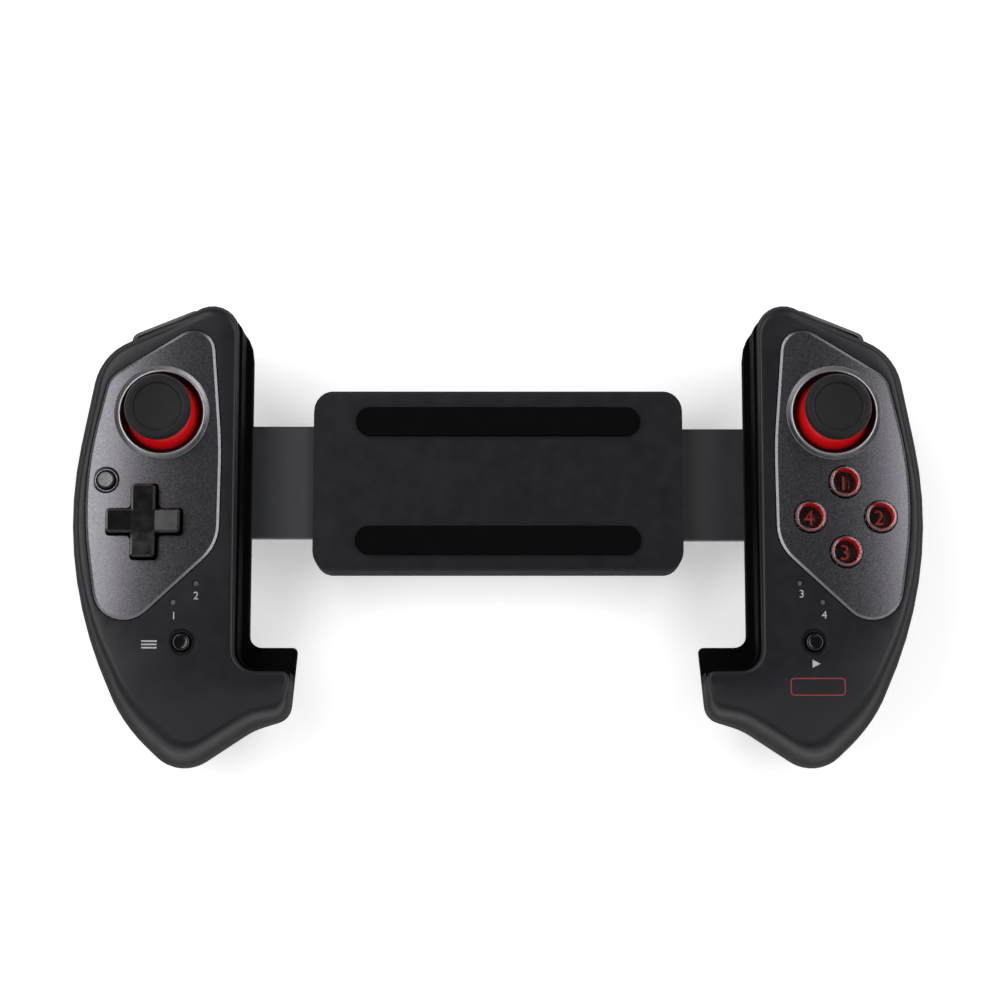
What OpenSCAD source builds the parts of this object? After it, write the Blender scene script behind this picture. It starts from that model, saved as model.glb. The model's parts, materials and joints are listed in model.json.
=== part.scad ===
// Telescopic game controller: two grips on a spring-loaded bridge that clamps a handheld device.
// It lies on its back: X across the clamp, Y up the grips, Z out of the faces. Millimetres.

/* [Grips] */
// Free gap between the two jaw walls in the stored pose
jaw_gap = 144.6; // [136:0.2:170]
// Width of a grip, jaw wall to outer bulge
grip_w = 46.3; // [44:0.1:54]
// Height of a grip, lower tip to top crest
grip_h = 129; // [125:0.5:140]
// Depth of the rear shells
rear_depth = 22; // [21:0.5:28]
// Depth of the front shells
front_depth = 16; // [15.5:0.5:20]
// Thickness of the shell walls
wall = 2; // [1.6:0.1:2.2]
// How far the foot reaches in from the jaw wall
foot_reach = 15.4; // [13:0.2:20]
// Drop of the foot's ledge below mid height
ledge_drop = 39.3; // [37:0.1:41]
// How far the rear shelf stands in from the jaw wall
shelf_reach = 2.8; // [1.5:0.1:4]
// How far the rear shelf stands up from the foot's ledge
shelf_rise = 7.9; // [5:0.1:10]
// How far the rear shelf stands past the foot's end
shelf_lip = 1.1; // [0.5:0.1:2]

/* [Face plates] */
// Thickness of a face plate
plate_t = 1.5; // [1.2:0.1:2]
// Depth of the recess that a face plate lies in
plate_sink = 1; // [0.6:0.1:1.2]
// Width of the bevel round a face plate
plate_bevel = 0.7; // [0.3:0.1:1]
// Width of the groove round a face plate
plate_groove = 0.3; // [0.1:0.05:0.5]
// Drop of the bevel round a face plate
plate_drop = 0.28; // [0.15:0.01:0.6]

/* [Thumbsticks] */
// Distance of the sticks from the jaw walls
stick_in = 20.9; // [19:0.1:22]
// Height of the sticks above mid height
stick_up = 32.4; // [31:0.1:34]
// Diameter of the rubber stick caps
stick_cap_d = 18.4; // [16:0.2:19]
// Height of a stick cap's rim above the shell's face
stick_rise = 10.4; // [10:0.1:12]
// Inner diameter of the bezel's lip
bezel_d = 22.6; // [22:0.1:24.4]
// Width of the bezel from its lip to its outer edge
bezel_lip = 1.9; // [1.3:0.1:2.4]
// Width of the round lip inside the bezel's dished band
bezel_bead = 0.7; // [0.5:0.05:0.9]
// Diameter of the hole that the stick's dome shows through
socket_d = 20.4; // [20:0.1:21.4]
// Depth of the stick's pivot below the shell's face
pivot_depth = 8.3; // [8:0.1:8.8]
// Width of the square stick housing
housing_w = 14.6; // [13.8:0.1:14.8]

/* [Buttons] */
// Distance of the direction pad from the jaw wall
pad_in = 25.1; // [23:0.1:26]
// Height of the direction pad above mid height
pad_up = 1.8; // [0:0.1:3]
// Width of the direction pad across its arms
pad_w = 20.2; // [18:0.2:22]
// Width of one arm of the direction pad
pad_arm = 6.6; // [6:0.1:8]
// Height of the direction pad above the face plate
pad_rise = 3.6; // [1.5:0.1:4.5]
// Depth of the direction pad's middle below the ends of its arms
pad_dip = 0.5; // [0.2:0.05:0.8]
// Distance of the action buttons' middle from the jaw wall
action_in = 23.5; // [22:0.1:25]
// Height of the action buttons' middle above mid height
action_up = 3.2; // [1:0.1:5]
// Distance of each action button from their middle
action_pitch = 9.7; // [9.2:0.1:10.4]
// Diameter of an action button
action_d = 8.8; // [8:0.1:9.8]
// Height of an action button above the face plate
action_rise = 2.2; // [1.6:0.1:3]
// Diameter of the small round buttons
small_d = 4.8; // [4:0.1:5.2]
// Height of the small round buttons above their seat
small_rise = 0.9; // [0.8:0.1:1.6]
// Distance of the menu buttons from the jaw walls
menu_in = 14.3; // [13:0.1:17]
// Drop of the menu buttons below mid height
menu_drop = 31.4; // [30:0.1:34]
// Distance of the mode button from the jaw wall
mode_in = 35.9; // [35:0.1:36.4]
// Height of the mode button above mid height
mode_up = 13.5; // [13:0.1:14]
// Diameter of the indicator lenses
led_d = 1.9; // [1.4:0.1:2.4]

/* [Shoulders] */
// Length of a shoulder button
shoulder_w = 21.8; // [18:0.2:22]
// How far a shoulder button stands out of the crest
shoulder_out = 4.2; // [2.6:0.1:5]
// Width of a trigger
trigger_w = 18; // [15:0.5:18.5]
// Diameter of a trigger's pivot pin
pin_d = 2; // [1.6:0.1:2.4]

/* [Bridge] */
// Height of the bridge's middle above mid height of the grips
bridge_up = 16; // [14:0.5:18]
// Height of the bridge
bridge_h = 52; // [50:0.5:56]
// Thickness of the bridge's covers
bridge_wall = 1.9; // [1.5:0.1:2.4]
// Width of a slider
slider_w = 32; // [28:0.5:33]
// Thickness of a slider
slider_t = 3.4; // [3:0.1:3.6]
// Travel of each grip inwards from the stored pose
slide_in = 16; // [10:0.5:18]
// Travel of each grip outwards from the stored pose
slide_out = 59; // [50:0.5:62]
// Length of slider left inside the bridge at full reach
slider_grip = 15; // [13:0.5:18]
// Outer diameter of the return springs
spring_d = 4.4; // [3.6:0.1:4.8]
// Diameter of the springs' wire
wire_d = 0.6; // [0.5:0.05:0.7]

/* [Hidden] */
$fn = 64;

// Small allowances that the fits share
slip = 0.2;
run_fit = 0.05;
press_gap = 0.02;

// Levels of the grips
jaw_x = jaw_gap / 2;
parting_z = rear_depth;
face_z = rear_depth + front_depth;
roof_z = face_z - wall;
half_h = grip_h / 2;
plate_z = face_z - plate_sink + plate_t;
floor_t = wall + 0.2;

// Places on a face keep their share of the grip's width, and the foot's ledge its share of the height
drawn_w = 46.3;
drawn_h = 129;
wide = grip_w / drawn_w;
ledge = ledge_drop * grip_h / drawn_h;
STICK = [stick_in * wide, stick_up];
PAD = [pad_in * wide, pad_up];
ACTION = [action_in * wide, action_up];
MENU = [menu_in * wide, -menu_drop];
MODE = [mode_in * wide, mode_up];

// Corners of a grip seen from the front, from the crest down the jaw and round the foot, anticlockwise.
// Each row: x from the jaw wall, y, corner radius, shift of the corner to the flat crown in x and y,
// crown radius, and height at which the side starts to round over.
crest_y = half_h + 2.6;
shoulder_corner = [grip_w - 6.6, half_h - 13.6];
crisp = 1.2;
GRIP = [
    [0, crest_y, 7.6, crisp, -4.4, 6, face_z - 2.5],
    [0, -ledge, 6, crisp, -crisp, 7.2, face_z - crisp],
    [-foot_reach, -ledge, 2, crisp, -crisp, 1, face_z - 1.4],
    [0.8 - foot_reach, 13.2 - half_h, 5, crisp, 4.9, 3.5, face_z - 8],
    [-4.3, 10 - half_h, 20, 0.8, 5.3, 20, face_z - 12],
    [grip_w - 30.3, -3.4 - half_h, 10.6, -4, 8.6, 6, parting_z + 2],
    [grip_w - 14.2, 11.8 - half_h, 42, -2.7, 9.8, 28, parting_z + 2],
    [grip_w + 4.1, -7, 113, -4.1, 0.6, 80, parting_z + 4],
    [shoulder_corner.x, shoulder_corner.y, 16.4, -3.6, -2.6, 13, parting_z + 4]
];
GRIP_STEPS = [8, 6, 4, 6, 4, 8, 6, 8, 7];
CROWN = [for (r = GRIP) [r[0] + r[3], r[1] + r[4], r[5]]];
crest_slope = (shoulder_corner.y - crest_y) / shoulder_corner.x;

// The rear shell adds the shelf behind the jaw wall and the foot
REAR = [
    [-shelf_reach, crest_y - crest_slope * shelf_reach, 11.5],
    [-shelf_reach, shelf_rise - ledge, 3.5],
    [-foot_reach - shelf_lip, shelf_rise - ledge, 1.5],
    for (i = [3:8]) [GRIP[i][0], GRIP[i][1], GRIP[i][2]]
];

// Corners of the face plate, anticlockwise from its crest: x from the jaw wall, y, radius
PLATE = [
    [7.3, half_h - 4.4, 6],
    [4.3, 23.7, 120],
    [4.6, -4.6, 13],
    [grip_w - 10, -34.2, 8.7],
    [grip_w - 3.1, 10.9, 100],
    [grip_w - 10.5, 42.4, 7]
];
PLATE_STEPS = [8, 3, 6, 10, 8, 6];

// Spine of the flat that a grip rests on, and the flat's half width
spine_x = grip_w - 24.6;
spine_low = -36;
spine_high = 30;
rest_r = 9;
rest_follow = 0.12;

// Hubs from which the flat faces of a grip see all of their outline
crown_hub = [11.7, -6.7 - ledge];
rest_hub = [spine_x - 1, spine_low];

// Thumbstick, measured from its pivot
pivot_z = face_z - pivot_depth;
bezel_sink = 2.2;
bezel_edge = 0.7;
bezel_high = 0.44;
bezel_dish = 0.28;
bezel_round = 0.12;
bezel_in_r = socket_d / 2;
bezel_out_r = bezel_d / 2 + bezel_lip;
bezel_wall = 1.7;
bezel_seat_r = max(bezel_d / 2 + slip, bezel_in_r + bezel_wall);
dome_gap = 0.35;
bezel_low = plate_z - bezel_sink - pivot_z;
dome_r = sqrt(bezel_in_r * bezel_in_r + bezel_low * bezel_low) - dome_gap;
dome_t = 0.8;
dome_low = 84;
dome_neck = 18;
neck_r = 3.2;
shaft_r = 1.5;
shaft_foot = -2.2;
cap_top = face_z + stick_rise - pivot_z;
cap_rim_t = 3.2;
cap_under = cap_top - cap_rim_t - 1;
neck_top = cap_top - 2.4;
cross_r = 0.9;
yoke_w = housing_w - 4.4;
yoke_t = 3;
yoke_hole = 6.4;
housing_wall = 0.8;
carrier_w = housing_w - 2 * housing_wall - slip;
carrier_wall = 0.95;
carrier_h = 4.4;
board_z = parting_z + 1;
board_t = 1.6;
board_top = board_z + board_t;
board_reach = 3;
housing_top = pivot_z + 2;
click_room = 0.7;
yoke_room = 0.8;

// Button stems and the domes under them
flange_t = 1.2;
flange_lip = 0.7;
stem_r = 1.8;
mat_t = 1;
dome_h = 3;
stem_low = board_top + mat_t + dome_h + 0.1;
action_slip = 0.3;
action_round = 1.1;
action_crown = 0.2;
small_slip = 0.5;

// Direction pad
pad_slip = 0.6;
pad_bevel = 0.6;
ball_r = 2;
ball_z = face_z - 4;
pad_flange_r = 10.4;
pad_flange_z = ball_z - 0.4;

// Indicator lenses: x from the jaw wall, y
LEDS = [[10.6, -15.2], [16.8, -20.4]];
led_sink = 0.35;

// Shoulder frame: along the straight crest edge, at the middle of the shoulder button
shoulder_in = 21.4;
shoulder_turn = atan(crest_slope);
shoulder_at = [shoulder_in, crest_y + crest_slope * shoulder_in];
shoulder_low = parting_z - 11;
shoulder_gap = 0.3;
shoulder_bevel = 1.1;
keeper_y = -5.2;
keeper_t = 1.4;
keeper_rise = 2.2;
shoulder_room = 1.6;

// Trigger: hinge line in the shoulder frame
boss_r = 2.2;
hinge_y = -6.5;
hinge_z = shoulder_low - shoulder_gap - boss_r - slip;
lug_t = 2.6;
pin_half = trigger_w / 2 + lug_t - 0.4;
pocket_y = hinge_y - boss_r - 1.2;

// Screws of a grip: x from the jaw wall, y
SCREWS = [[5.2, 51], [grip_w - 8.1, 21], [grip_w - 22.6, 16.5 - half_h], [8.1 - foot_reach, 18.5 - half_h]];
screw_r = 1.25;
screw_head_r = 2.3;
screw_head_t = 1.7;
screw_seat_z = 9;
screw_top_z = face_z - 7;
post_r = 3.8;
pillar_r = 2.8;

// Bridge: two slider layers between the covers, flush with the rear shelf
layer_gap = 0.3;
bridge_top = parting_z;
front_layer_z = bridge_top - bridge_wall - layer_gap - slider_t;
rear_layer_z = front_layer_z - 2 * layer_gap - slider_t;
bridge_z = rear_layer_z - layer_gap - bridge_wall;
bridge_split = front_layer_z - layer_gap;
sleeve_gap = 1.2;
sleeve_half = jaw_x - shelf_reach - slide_in - sleeve_gap;
end_wall = 2;
slider_end = sleeve_half - slider_grip - slide_out - jaw_x;
slider_root = 14;
slider_hole_x = 10;
slider_hole_y = slider_w / 2 - 6;
slider_post_r = 3;
slot_reach = slider_hole_x - slider_post_r - 0.4;
channel_y = slider_w / 2 + spring_d / 2 + 0.8;
room_y = channel_y + spring_d / 2 + 0.5;
tab_l = slider_grip - end_wall - 1;
cover_r = 6;
edge_r = 3;
strip_l = 2 * sleeve_half - 24;
strip_w = 8;
strip_y = bridge_h / 2 - 9;
strip_sink = 0.6;
liner_t = 1.2;
liner_wall = 0.8;
bridge_screw = [sleeve_half - 16, (bridge_h / 2 + room_y) / 2];
bridge_screw_r = 0.8;
bridge_head_r = 1.5;
bridge_head_t = 1.2;
bridge_head_sink = 2.4;

// Battery cell and charging socket
battery_size = [18, 30, 5.4];
battery_y = -24;
port_x = 0.6;
port_y = -19;
port_z = 13;
port_size = [7.4, 9, 3.2];
port_skin = 0.4;

function layer_z(side) = side < 0 ? front_layer_z : rear_layer_z;
function spring_z(side) = side < 0 ? bridge_top - bridge_wall - slip - spring_d / 2
    : bridge_z + bridge_wall + slip + spring_d / 2;

// Outline helpers
function unit(v) = v / norm(v);
function flat(lists) = [for (l = lists) each l];
function wrap(list, i) = list[(i + len(list)) % len(list)];
function xy(row) = [row[0], row[1]];
function lerp(a, b, f) = a + (b - a) * f;
function inward(a, b) = let (d = unit(b - a)) [-d.y, d.x];
function cross_z(u, v) = u.x * v.y - u.y * v.x;

// Arc of radius r that rounds corner b between a and c, as n + 1 points
function corner_arc(a, b, c, r, n) =
    let (u = unit(a - b), v = unit(c - b), half = acos(u * v) / 2)
    let (centre = b + unit(u + v) * r / sin(half), start = b + u * r / tan(half) - centre)
    let (from = atan2(start.y, start.x), turn = (cross_z(u, v) > 0 ? -1 : 1) * (180 - 2 * half))
    [for (k = [0:n]) centre + r * [cos(from + turn * k / n), sin(from + turn * k / n)]];

function outline(rows, steps) =
    flat([for (i = [0:len(rows) - 1])
        corner_arc(xy(wrap(rows, i - 1)), xy(rows[i]), xy(wrap(rows, i + 1)), rows[i][2], steps[i])]);

// One value of each row, repeated for every point of its corner
function spread(rows, steps, column) =
    flat([for (i = [0:len(rows) - 1]) [for (k = [0:steps[i]]) rows[i][column]]]);

// Rows moved in by w from all edges, with the radii to match
function inset(rows, w) =
    [for (i = [0:len(rows) - 1])
        let (a = xy(wrap(rows, i - 1)), b = xy(rows[i]), c = xy(wrap(rows, i + 1)))
        let (m = inward(a, b), n = inward(b, c), p = b + (m + n) * w / (1 + m * n))
        [p.x, p.y, cross_z(b - a, c - b) > 0 ? max(rows[i][2] - w, 0.4) : rows[i][2] + w]];

function box_rows(low, high, r) =
    [[low.x, low.y, r], [high.x, low.y, r], [high.x, high.y, r], [low.x, high.y, r]];

// Closed skin through rings of equal count, capped by fans from two hubs
module loft(rings, low_hub, high_hub) {
    n = len(rings[0]);
    m = len(rings);
    sides = [for (i = [0:m - 2]) for (j = [0:n - 1])
        let (a = i * n + j, b = i * n + (j + 1) % n) each [[a, a + n, b + n], [a, b + n, b]]];
    low = [for (j = [0:n - 1]) [m * n, j, (j + 1) % n]];
    high = [for (j = [0:n - 1]) [m * n + 1, (m - 1) * n + (j + 1) % n, (m - 1) * n + j]];
    polyhedron(concat(flat(rings), [low_hub, high_hub]), concat(low, sides, high), convexity = 10);
}

function level(points, z) = [for (p = points) [p.x, p.y, z]];
function same(points, z) = [for (p = points) z];
function hub(at, z) = [at.x, at.y, z];

// Quarter-ellipse sweep from outline a at heights za to outline b at height zb
function dome_rings(a, b, za, zb, steps) =
    [for (k = [0:steps]) let (t = 90 * k / steps)
        [for (i = [0:len(a) - 1])
            let (p = lerp(a[i], b[i], 1 - cos(t))) [p.x, p.y, lerp(za[i], zb, sin(t))]]];

// Nearest point of the spine, and the rest flat that follows the outline a little
function spine_point(p) = [spine_x, min(max(p.y, spine_low), spine_high)];
function rest_point(p) = let (q = spine_point(p)) lerp(q + unit(p - q) * rest_r, p, rest_follow);

module at_grip(side) {
    mirror([side < 0 ? 1 : 0, 0, 0]) translate([jaw_x, 0, 0]) children();
}

module at_shoulder() {
    translate([shoulder_at.x, shoulder_at.y, 0]) rotate([0, 0, shoulder_turn]) children();
}

module at_hinge(x) {
    at_shoulder() translate([x, hinge_y, hinge_z]) rotate([0, 90, 0]) children();
}

module at_stick() {
    translate([STICK.x, STICK.y, pivot_z]) children();
}

module at_screws() {
    for (s = SCREWS) translate([s.x, s.y, 0]) children();
}

module at_slider_screws(z) {
    for (e = [-1, 1]) translate([slider_hole_x, bridge_up + e * slider_hole_y, z]) children();
}

module at_bridge_screws() {
    for (x = [-1, 1]) for (y = [-1, 1])
        translate([x * bridge_screw.x, bridge_up + y * bridge_screw.y, bridge_z]) children();
}

module block(low, high) {
    translate(low) cube(high - low);
}

module slab(z, t) {
    translate([0, 0, z]) linear_extrude(t) children();
}

// Front shell: a crisp rim along the jaw that rounds over more and more towards the outer side
module front_body() {
    base = outline(GRIP, GRIP_STEPS);
    crown = outline(CROWN, GRIP_STEPS);
    from = spread(GRIP, GRIP_STEPS, 6);
    loft(concat([level(base, parting_z)], dome_rings(base, crown, from, face_z, 6)),
        hub(crown_hub, parting_z), hub(crown_hub, face_z));
}

module front_cavity() {
    base = outline(inset(GRIP, wall), GRIP_STEPS);
    crown = outline(inset(CROWN, wall), GRIP_STEPS);
    from = [for (z = spread(GRIP, GRIP_STEPS, 6)) z - wall];
    low = parting_z - 1;
    loft(concat([level(base, low)], dome_rings(base, crown, from, roof_z, 4)),
        hub(crown_hub, low), hub(crown_hub, roof_z));
}

// Twelve corners of a cross with the given half length, half arm and corner radius
function cross_rows(h, a, r) = flat([for (q = [0:3])
    let (c = cos(90 * q), s = sin(90 * q))
    [for (p = [[h, -a], [h, a], [a, a]]) [p.x * c - p.y * s, p.x * s + p.y * c, r]]]);
CROSS_STEPS = [for (i = [0:11]) 3];

module pad_outline(grow) {
    polygon(outline(cross_rows(pad_w / 2 + grow, pad_arm / 2 + grow, 1.1), CROSS_STEPS));
}

// Openings that run through the roof and the face plate
module face_holes(side) {
    low = roof_z - 1;
    translate([STICK.x, STICK.y, low]) cylinder(r = bezel_seat_r + slip, h = front_depth);
    if (side < 0) {
        translate([PAD.x, PAD.y, low]) linear_extrude(front_depth) pad_outline(pad_slip);
        translate([MODE.x, MODE.y, low]) cylinder(r = small_d / 2 + small_slip, h = front_depth);
    } else {
        for (q = [0:3]) translate([ACTION.x, ACTION.y, low]) rotate(90 * q) translate([action_pitch, 0, 0])
            cylinder(r = action_d / 2 + action_slip, h = front_depth);
    }
}

// Shallow dish round a small button, cut from height z downwards
module small_dish(at, z) {
    rim = small_d / 2 + small_slip + 0.6;
    translate([at.x, at.y, z - 0.5]) cylinder(r1 = rim - 0.4, r2 = rim + 0.6, h = 0.75);
}

module front_shell(side) {
    color("#26272b") difference() {
        front_body();
        difference() {
            front_cavity();
            at_screws() translate([0, 0, parting_z]) cylinder(r = pillar_r, h = front_depth);
        }
        slab(face_z - plate_sink, front_depth) polygon(outline(inset(PLATE, -plate_groove), PLATE_STEPS));
        face_holes(side);
        translate([MENU.x, MENU.y, roof_z - 1]) cylinder(r = small_d / 2 + small_slip, h = front_depth);
        small_dish(MENU, face_z);
        for (l = LEDS) translate([l.x, l.y, roof_z - 1]) cylinder(r = led_d / 2 + run_fit, h = front_depth);
        at_screws() translate([0, 0, parting_z - 1])
            cylinder(r = screw_r + press_gap, h = screw_top_z - parting_z + 1.5);
    }
}

// Rear shell: a deep palm swell that ends in a small flat to rest on
module rear_body() {
    base = outline(REAR, GRIP_STEPS);
    rest = [for (p = base) rest_point(p)];
    rings = dome_rings(base, rest, same(base, parting_z), 0, 9);
    loft([for (k = [9:-1:0]) rings[k]], hub(rest_hub, 0), hub(crown_hub, parting_z));
}

module rear_cavity() {
    base = outline(inset(GRIP, wall), GRIP_STEPS);
    rest = [for (p = base) lerp(rest_hub, rest_point(p), 0.93)];
    rings = dome_rings(base, rest, same(base, parting_z), floor_t, 6);
    high = parting_z + 1;
    loft(concat([for (k = [6:-1:0]) rings[k]], [level(base, high)]),
        hub(rest_hub, floor_t), hub(crown_hub, high));
}

// Screw posts, slider posts, trigger lugs and socket ribs that stand in the rear shell
module rear_posts(side) {
    lug_x = trigger_w / 2 + slip;
    at_screws() translate([0, 0, -1]) cylinder(r = post_r, h = parting_z + 1);
    at_slider_screws(-1) cylinder(r = slider_post_r, h = layer_z(side) + 1);
    at_shoulder() for (e = [0, 1]) mirror([e, 0, 0])
        block([lug_x, pocket_y, -1], [lug_x + lug_t, 0, shoulder_low - shoulder_gap]);
    if (side > 0) for (e = [-1, 1]) translate([port_x, port_y + e * port_size.y / 2, -1])
        block([3.2, -0.8, 0], [8, 0.8, port_z]);
}

module rear_shell(side) {
    tongue_y = slider_w / 2 + slip;
    shoulder_x = shoulder_w / 2 + shoulder_gap;
    trigger_x = trigger_w / 2 + slip;
    color("#1d1e21") difference() {
        rear_body();
        difference() {
            rear_cavity();
            rear_posts(side);
        }
        at_screws() translate([0, 0, -1]) {
            cylinder(r = screw_head_r + slip, h = screw_seat_z + 1);
            cylinder(r = screw_r + slip, h = parting_z + 2);
        }
        block([-shelf_reach - 4, bridge_up - tongue_y, layer_z(side) - slip],
            [slot_reach, bridge_up + tongue_y, layer_z(side) + slider_t + slip]);
        at_slider_screws(layer_z(side) - 5.5) cylinder(r = screw_r + press_gap, h = 7);
        at_shoulder() {
            block([-shoulder_x, keeper_y - keeper_t - shoulder_room, shoulder_low - shoulder_gap],
                [shoulder_x, 10, parting_z + 1]);
            block([-trigger_x, pocket_y, -1], [trigger_x, 12, shoulder_low - shoulder_gap]);
        }
        at_hinge(-pin_half) cylinder(r = pin_d / 2 + press_gap, h = 2 * pin_half);
        if (side > 0) translate([port_x, port_y, port_z])
            block([-8, -port_size.y / 2 - slip, -slip],
                [port_size.x, port_size.y / 2 + slip, port_size.z + slip]);
    }
}

// Face plate: thin inlay with a bevelled edge
module face_plate(side) {
    low = outline(PLATE, PLATE_STEPS);
    top = outline(inset(PLATE, plate_bevel), PLATE_STEPS);
    middle = [grip_w / 2, 10];
    seat = face_z - plate_sink;
    color("#5b5a60") difference() {
        loft([level(low, seat), level(low, plate_z - plate_drop), level(top, plate_z)],
            hub(middle, seat), hub(middle, plate_z));
        face_holes(side);
        if (side < 0) small_dish(MODE, plate_z);
    }
}

// Soft liner: a sheet on the rear shelf that turns up against the jaw wall and the foot's ledge
module clamp_liner() {
    shelf = outline(inset(REAR, 0.3), GRIP_STEPS);
    upright = front_depth - 3;
    color("#0c0c0d") difference() {
        union() {
            slab(parting_z, liner_t) polygon(shelf);
            intersection() {
                slab(parting_z, upright) polygon(shelf);
                slab(parting_z, upright) polygon(outline(inset(GRIP, -liner_wall), GRIP_STEPS));
            }
        }
        slab(parting_z - 1, upright + 2) polygon(outline(GRIP, GRIP_STEPS));
    }
}

// Bezel: turned ring with a dished band, a round lip inside it and a funnel down to the stick's dome
module stick_bezel() {
    rim = bezel_d / 2;
    bead_r = bezel_bead / 2;
    bead = [for (t = [0:22.5:180]) [rim + bead_r + bead_r * cos(t), bezel_high + bead_r * sin(t)]];
    color("#8b8c90") translate([STICK.x, STICK.y, plate_z]) rotate_extrude() polygon(concat(
        [[bezel_seat_r, 0], [bezel_out_r, 0], [bezel_out_r, bezel_high - bezel_round],
         [bezel_out_r - bezel_round, bezel_high], [rim + bezel_bead + 0.1, bezel_high - bezel_dish],
         [rim + bezel_bead, bezel_high - bezel_dish]], bead,
        [[bezel_in_r, bezel_edge - bezel_sink], [bezel_in_r, -bezel_sink], [bezel_seat_r, -bezel_sink]]));
}

// Stick cap: rubber disc with a rounded rim and a recessed thumb rest
module stick_cap() {
    r = stick_cap_d / 2;
    rim_r = cap_rim_t / 2;
    disc_r = r * 0.73;
    hole_r = neck_r + run_fit;
    rim = [for (t = [-90:18:90]) [r - rim_r + rim_r * cos(t), cap_top - rim_r + rim_r * sin(t)]];
    dish = [for (k = [0:3]) [(disc_r - 0.3) * (1 - k / 3), cap_top - 0.7 - 0.35 * (1 - pow(1 - k / 3, 2))]];
    color("#2b2c2e") at_stick() rotate_extrude() polygon(concat(
        [[hole_r, cap_under - 0.6], [neck_r + 1.1, cap_under - 0.6], [r * 0.7, cap_under + 0.7]],
        rim, [[disc_r, cap_top - 0.3]], dish, [[0, neck_top + run_fit], [hole_r, neck_top + run_fit]]));
}

// Stick dome: bright skirt that closes the socket at every tilt, with its neck, shaft and cross pin
module stick_dome() {
    in_r = dome_r - dome_t;
    skin = [for (t = [dome_low:-6:dome_neck]) dome_r * [sin(t), cos(t)]];
    inner = [for (t = [12:8:dome_low]) in_r * [sin(t), cos(t)]];
    color("#b3161b") at_stick() {
        rotate_extrude() polygon(concat(
            [[0, shaft_foot], [shaft_r, shaft_foot], [shaft_r, inner[0].y]], inner, skin,
            [[neck_r, dome_r * cos(dome_neck) + 0.3], [neck_r, neck_top], [0, neck_top]]));
        rotate([90, 0, 0]) cylinder(r = cross_r, h = yoke_w - 0.6, center = true);
    }
}

module stick_gimbal() {
    color("#d8d6d0") at_stick() difference() {
        union() {
            cube([yoke_w, yoke_w, yoke_t], center = true);
            rotate([0, 90, 0]) cylinder(r = cross_r, h = carrier_w - slip, center = true);
        }
        cube([yoke_hole, yoke_hole, yoke_t + 1], center = true);
        rotate([90, 0, 0]) cylinder(r = cross_r + run_fit, h = yoke_w + 1, center = true);
    }
}

module stick_carrier() {
    inner_w = carrier_w - 2 * carrier_wall;
    color("#3c3f43") at_stick() difference() {
        cube([carrier_w, carrier_w, carrier_h], center = true);
        cube([inner_w, inner_w, carrier_h + 1], center = true);
        rotate([0, 90, 0]) cylinder(r = cross_r + run_fit, h = carrier_w + 1, center = true);
    }
}

// Open tray that the carrier sinks into when a stick is pressed
module stick_housing() {
    h = housing_w / 2;
    w = h - housing_wall;
    y = yoke_w / 2 + slip;
    tray_z = pivot_z - carrier_h / 2 - click_room;
    color("#b9bcc0") translate([STICK.x, STICK.y, 0]) difference() {
        block([-h, -h, board_top], [h, h, housing_top]);
        block([-w, -w, tray_z], [w, w, housing_top + 1]);
        block([-y, -y, tray_z - yoke_room], [y, y, housing_top + 1]);
        translate([0, 0, board_top + housing_wall]) cylinder(r = shaft_r + 2, h = front_depth);
    }
}

// Direction pad: bevelled cross that rocks on a ball
// One bar of the cross: flat in the middle, rising to both ends, all upper edges and end corners bevelled
function bar_ring(x, half, top) = [
    [x, -half, pad_flange_z], [x, half, pad_flange_z], [x, half, top - pad_bevel],
    [x, half - pad_bevel, top], [x, pad_bevel - half, top], [x, -half, top - pad_bevel]
];
module pad_bar() {
    reach = pad_w / 2;
    half = pad_arm / 2;
    top = plate_z + pad_rise;
    b = pad_bevel;
    rows = [[reach, half - b, top - b], [reach - b, half, top], [half, half, top - pad_dip]];
    loft(concat([for (r = rows) bar_ring(-r[0], r[1], r[2])],
            [for (k = [2:-1:0]) bar_ring(rows[k][0], rows[k][1], rows[k][2])]),
        [-reach, 0, plate_z], [reach, 0, plate_z]);
}
module direction_pad() {
    color("#0f0f11") translate([PAD.x, PAD.y, 0]) difference() {
        union() {
            pad_bar();
            rotate(90) pad_bar();
            slab(pad_flange_z - flange_t, flange_t) circle(r = pad_flange_r);
        }
        translate([0, 0, ball_z]) sphere(r = ball_r + run_fit);
        slab(pad_flange_z - flange_t - 1, flange_t + 1) circle(r = ball_r + 0.6);
    }
}

module direction_pivot() {
    color("#c9cbcd") translate([PAD.x, PAD.y, ball_z]) sphere(r = ball_r);
}

// Action button: glossy dome with a flange that keeps it under the roof
module action_button(q) {
    r = action_d / 2;
    top = plate_z + action_rise;
    round_r = action_round;
    rim_z = top - action_crown;
    edge = [for (t = [0:18:90]) [r - round_r + round_r * cos(t), rim_z - round_r + round_r * sin(t)]];
    crown = [for (k = [1:4]) [(r - round_r) * (1 - k / 4), top - action_crown * pow(1 - k / 4, 2)]];
    color("#17090a") translate([ACTION.x, ACTION.y, 0]) rotate(90 * q) translate([action_pitch, 0, 0])
        rotate_extrude() polygon(concat(
            [[0, stem_low], [stem_r, stem_low], [stem_r, roof_z - flange_t],
             [r + flange_lip, roof_z - flange_t],
             [r + flange_lip, roof_z], [r, roof_z]], edge, crown));
}

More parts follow.
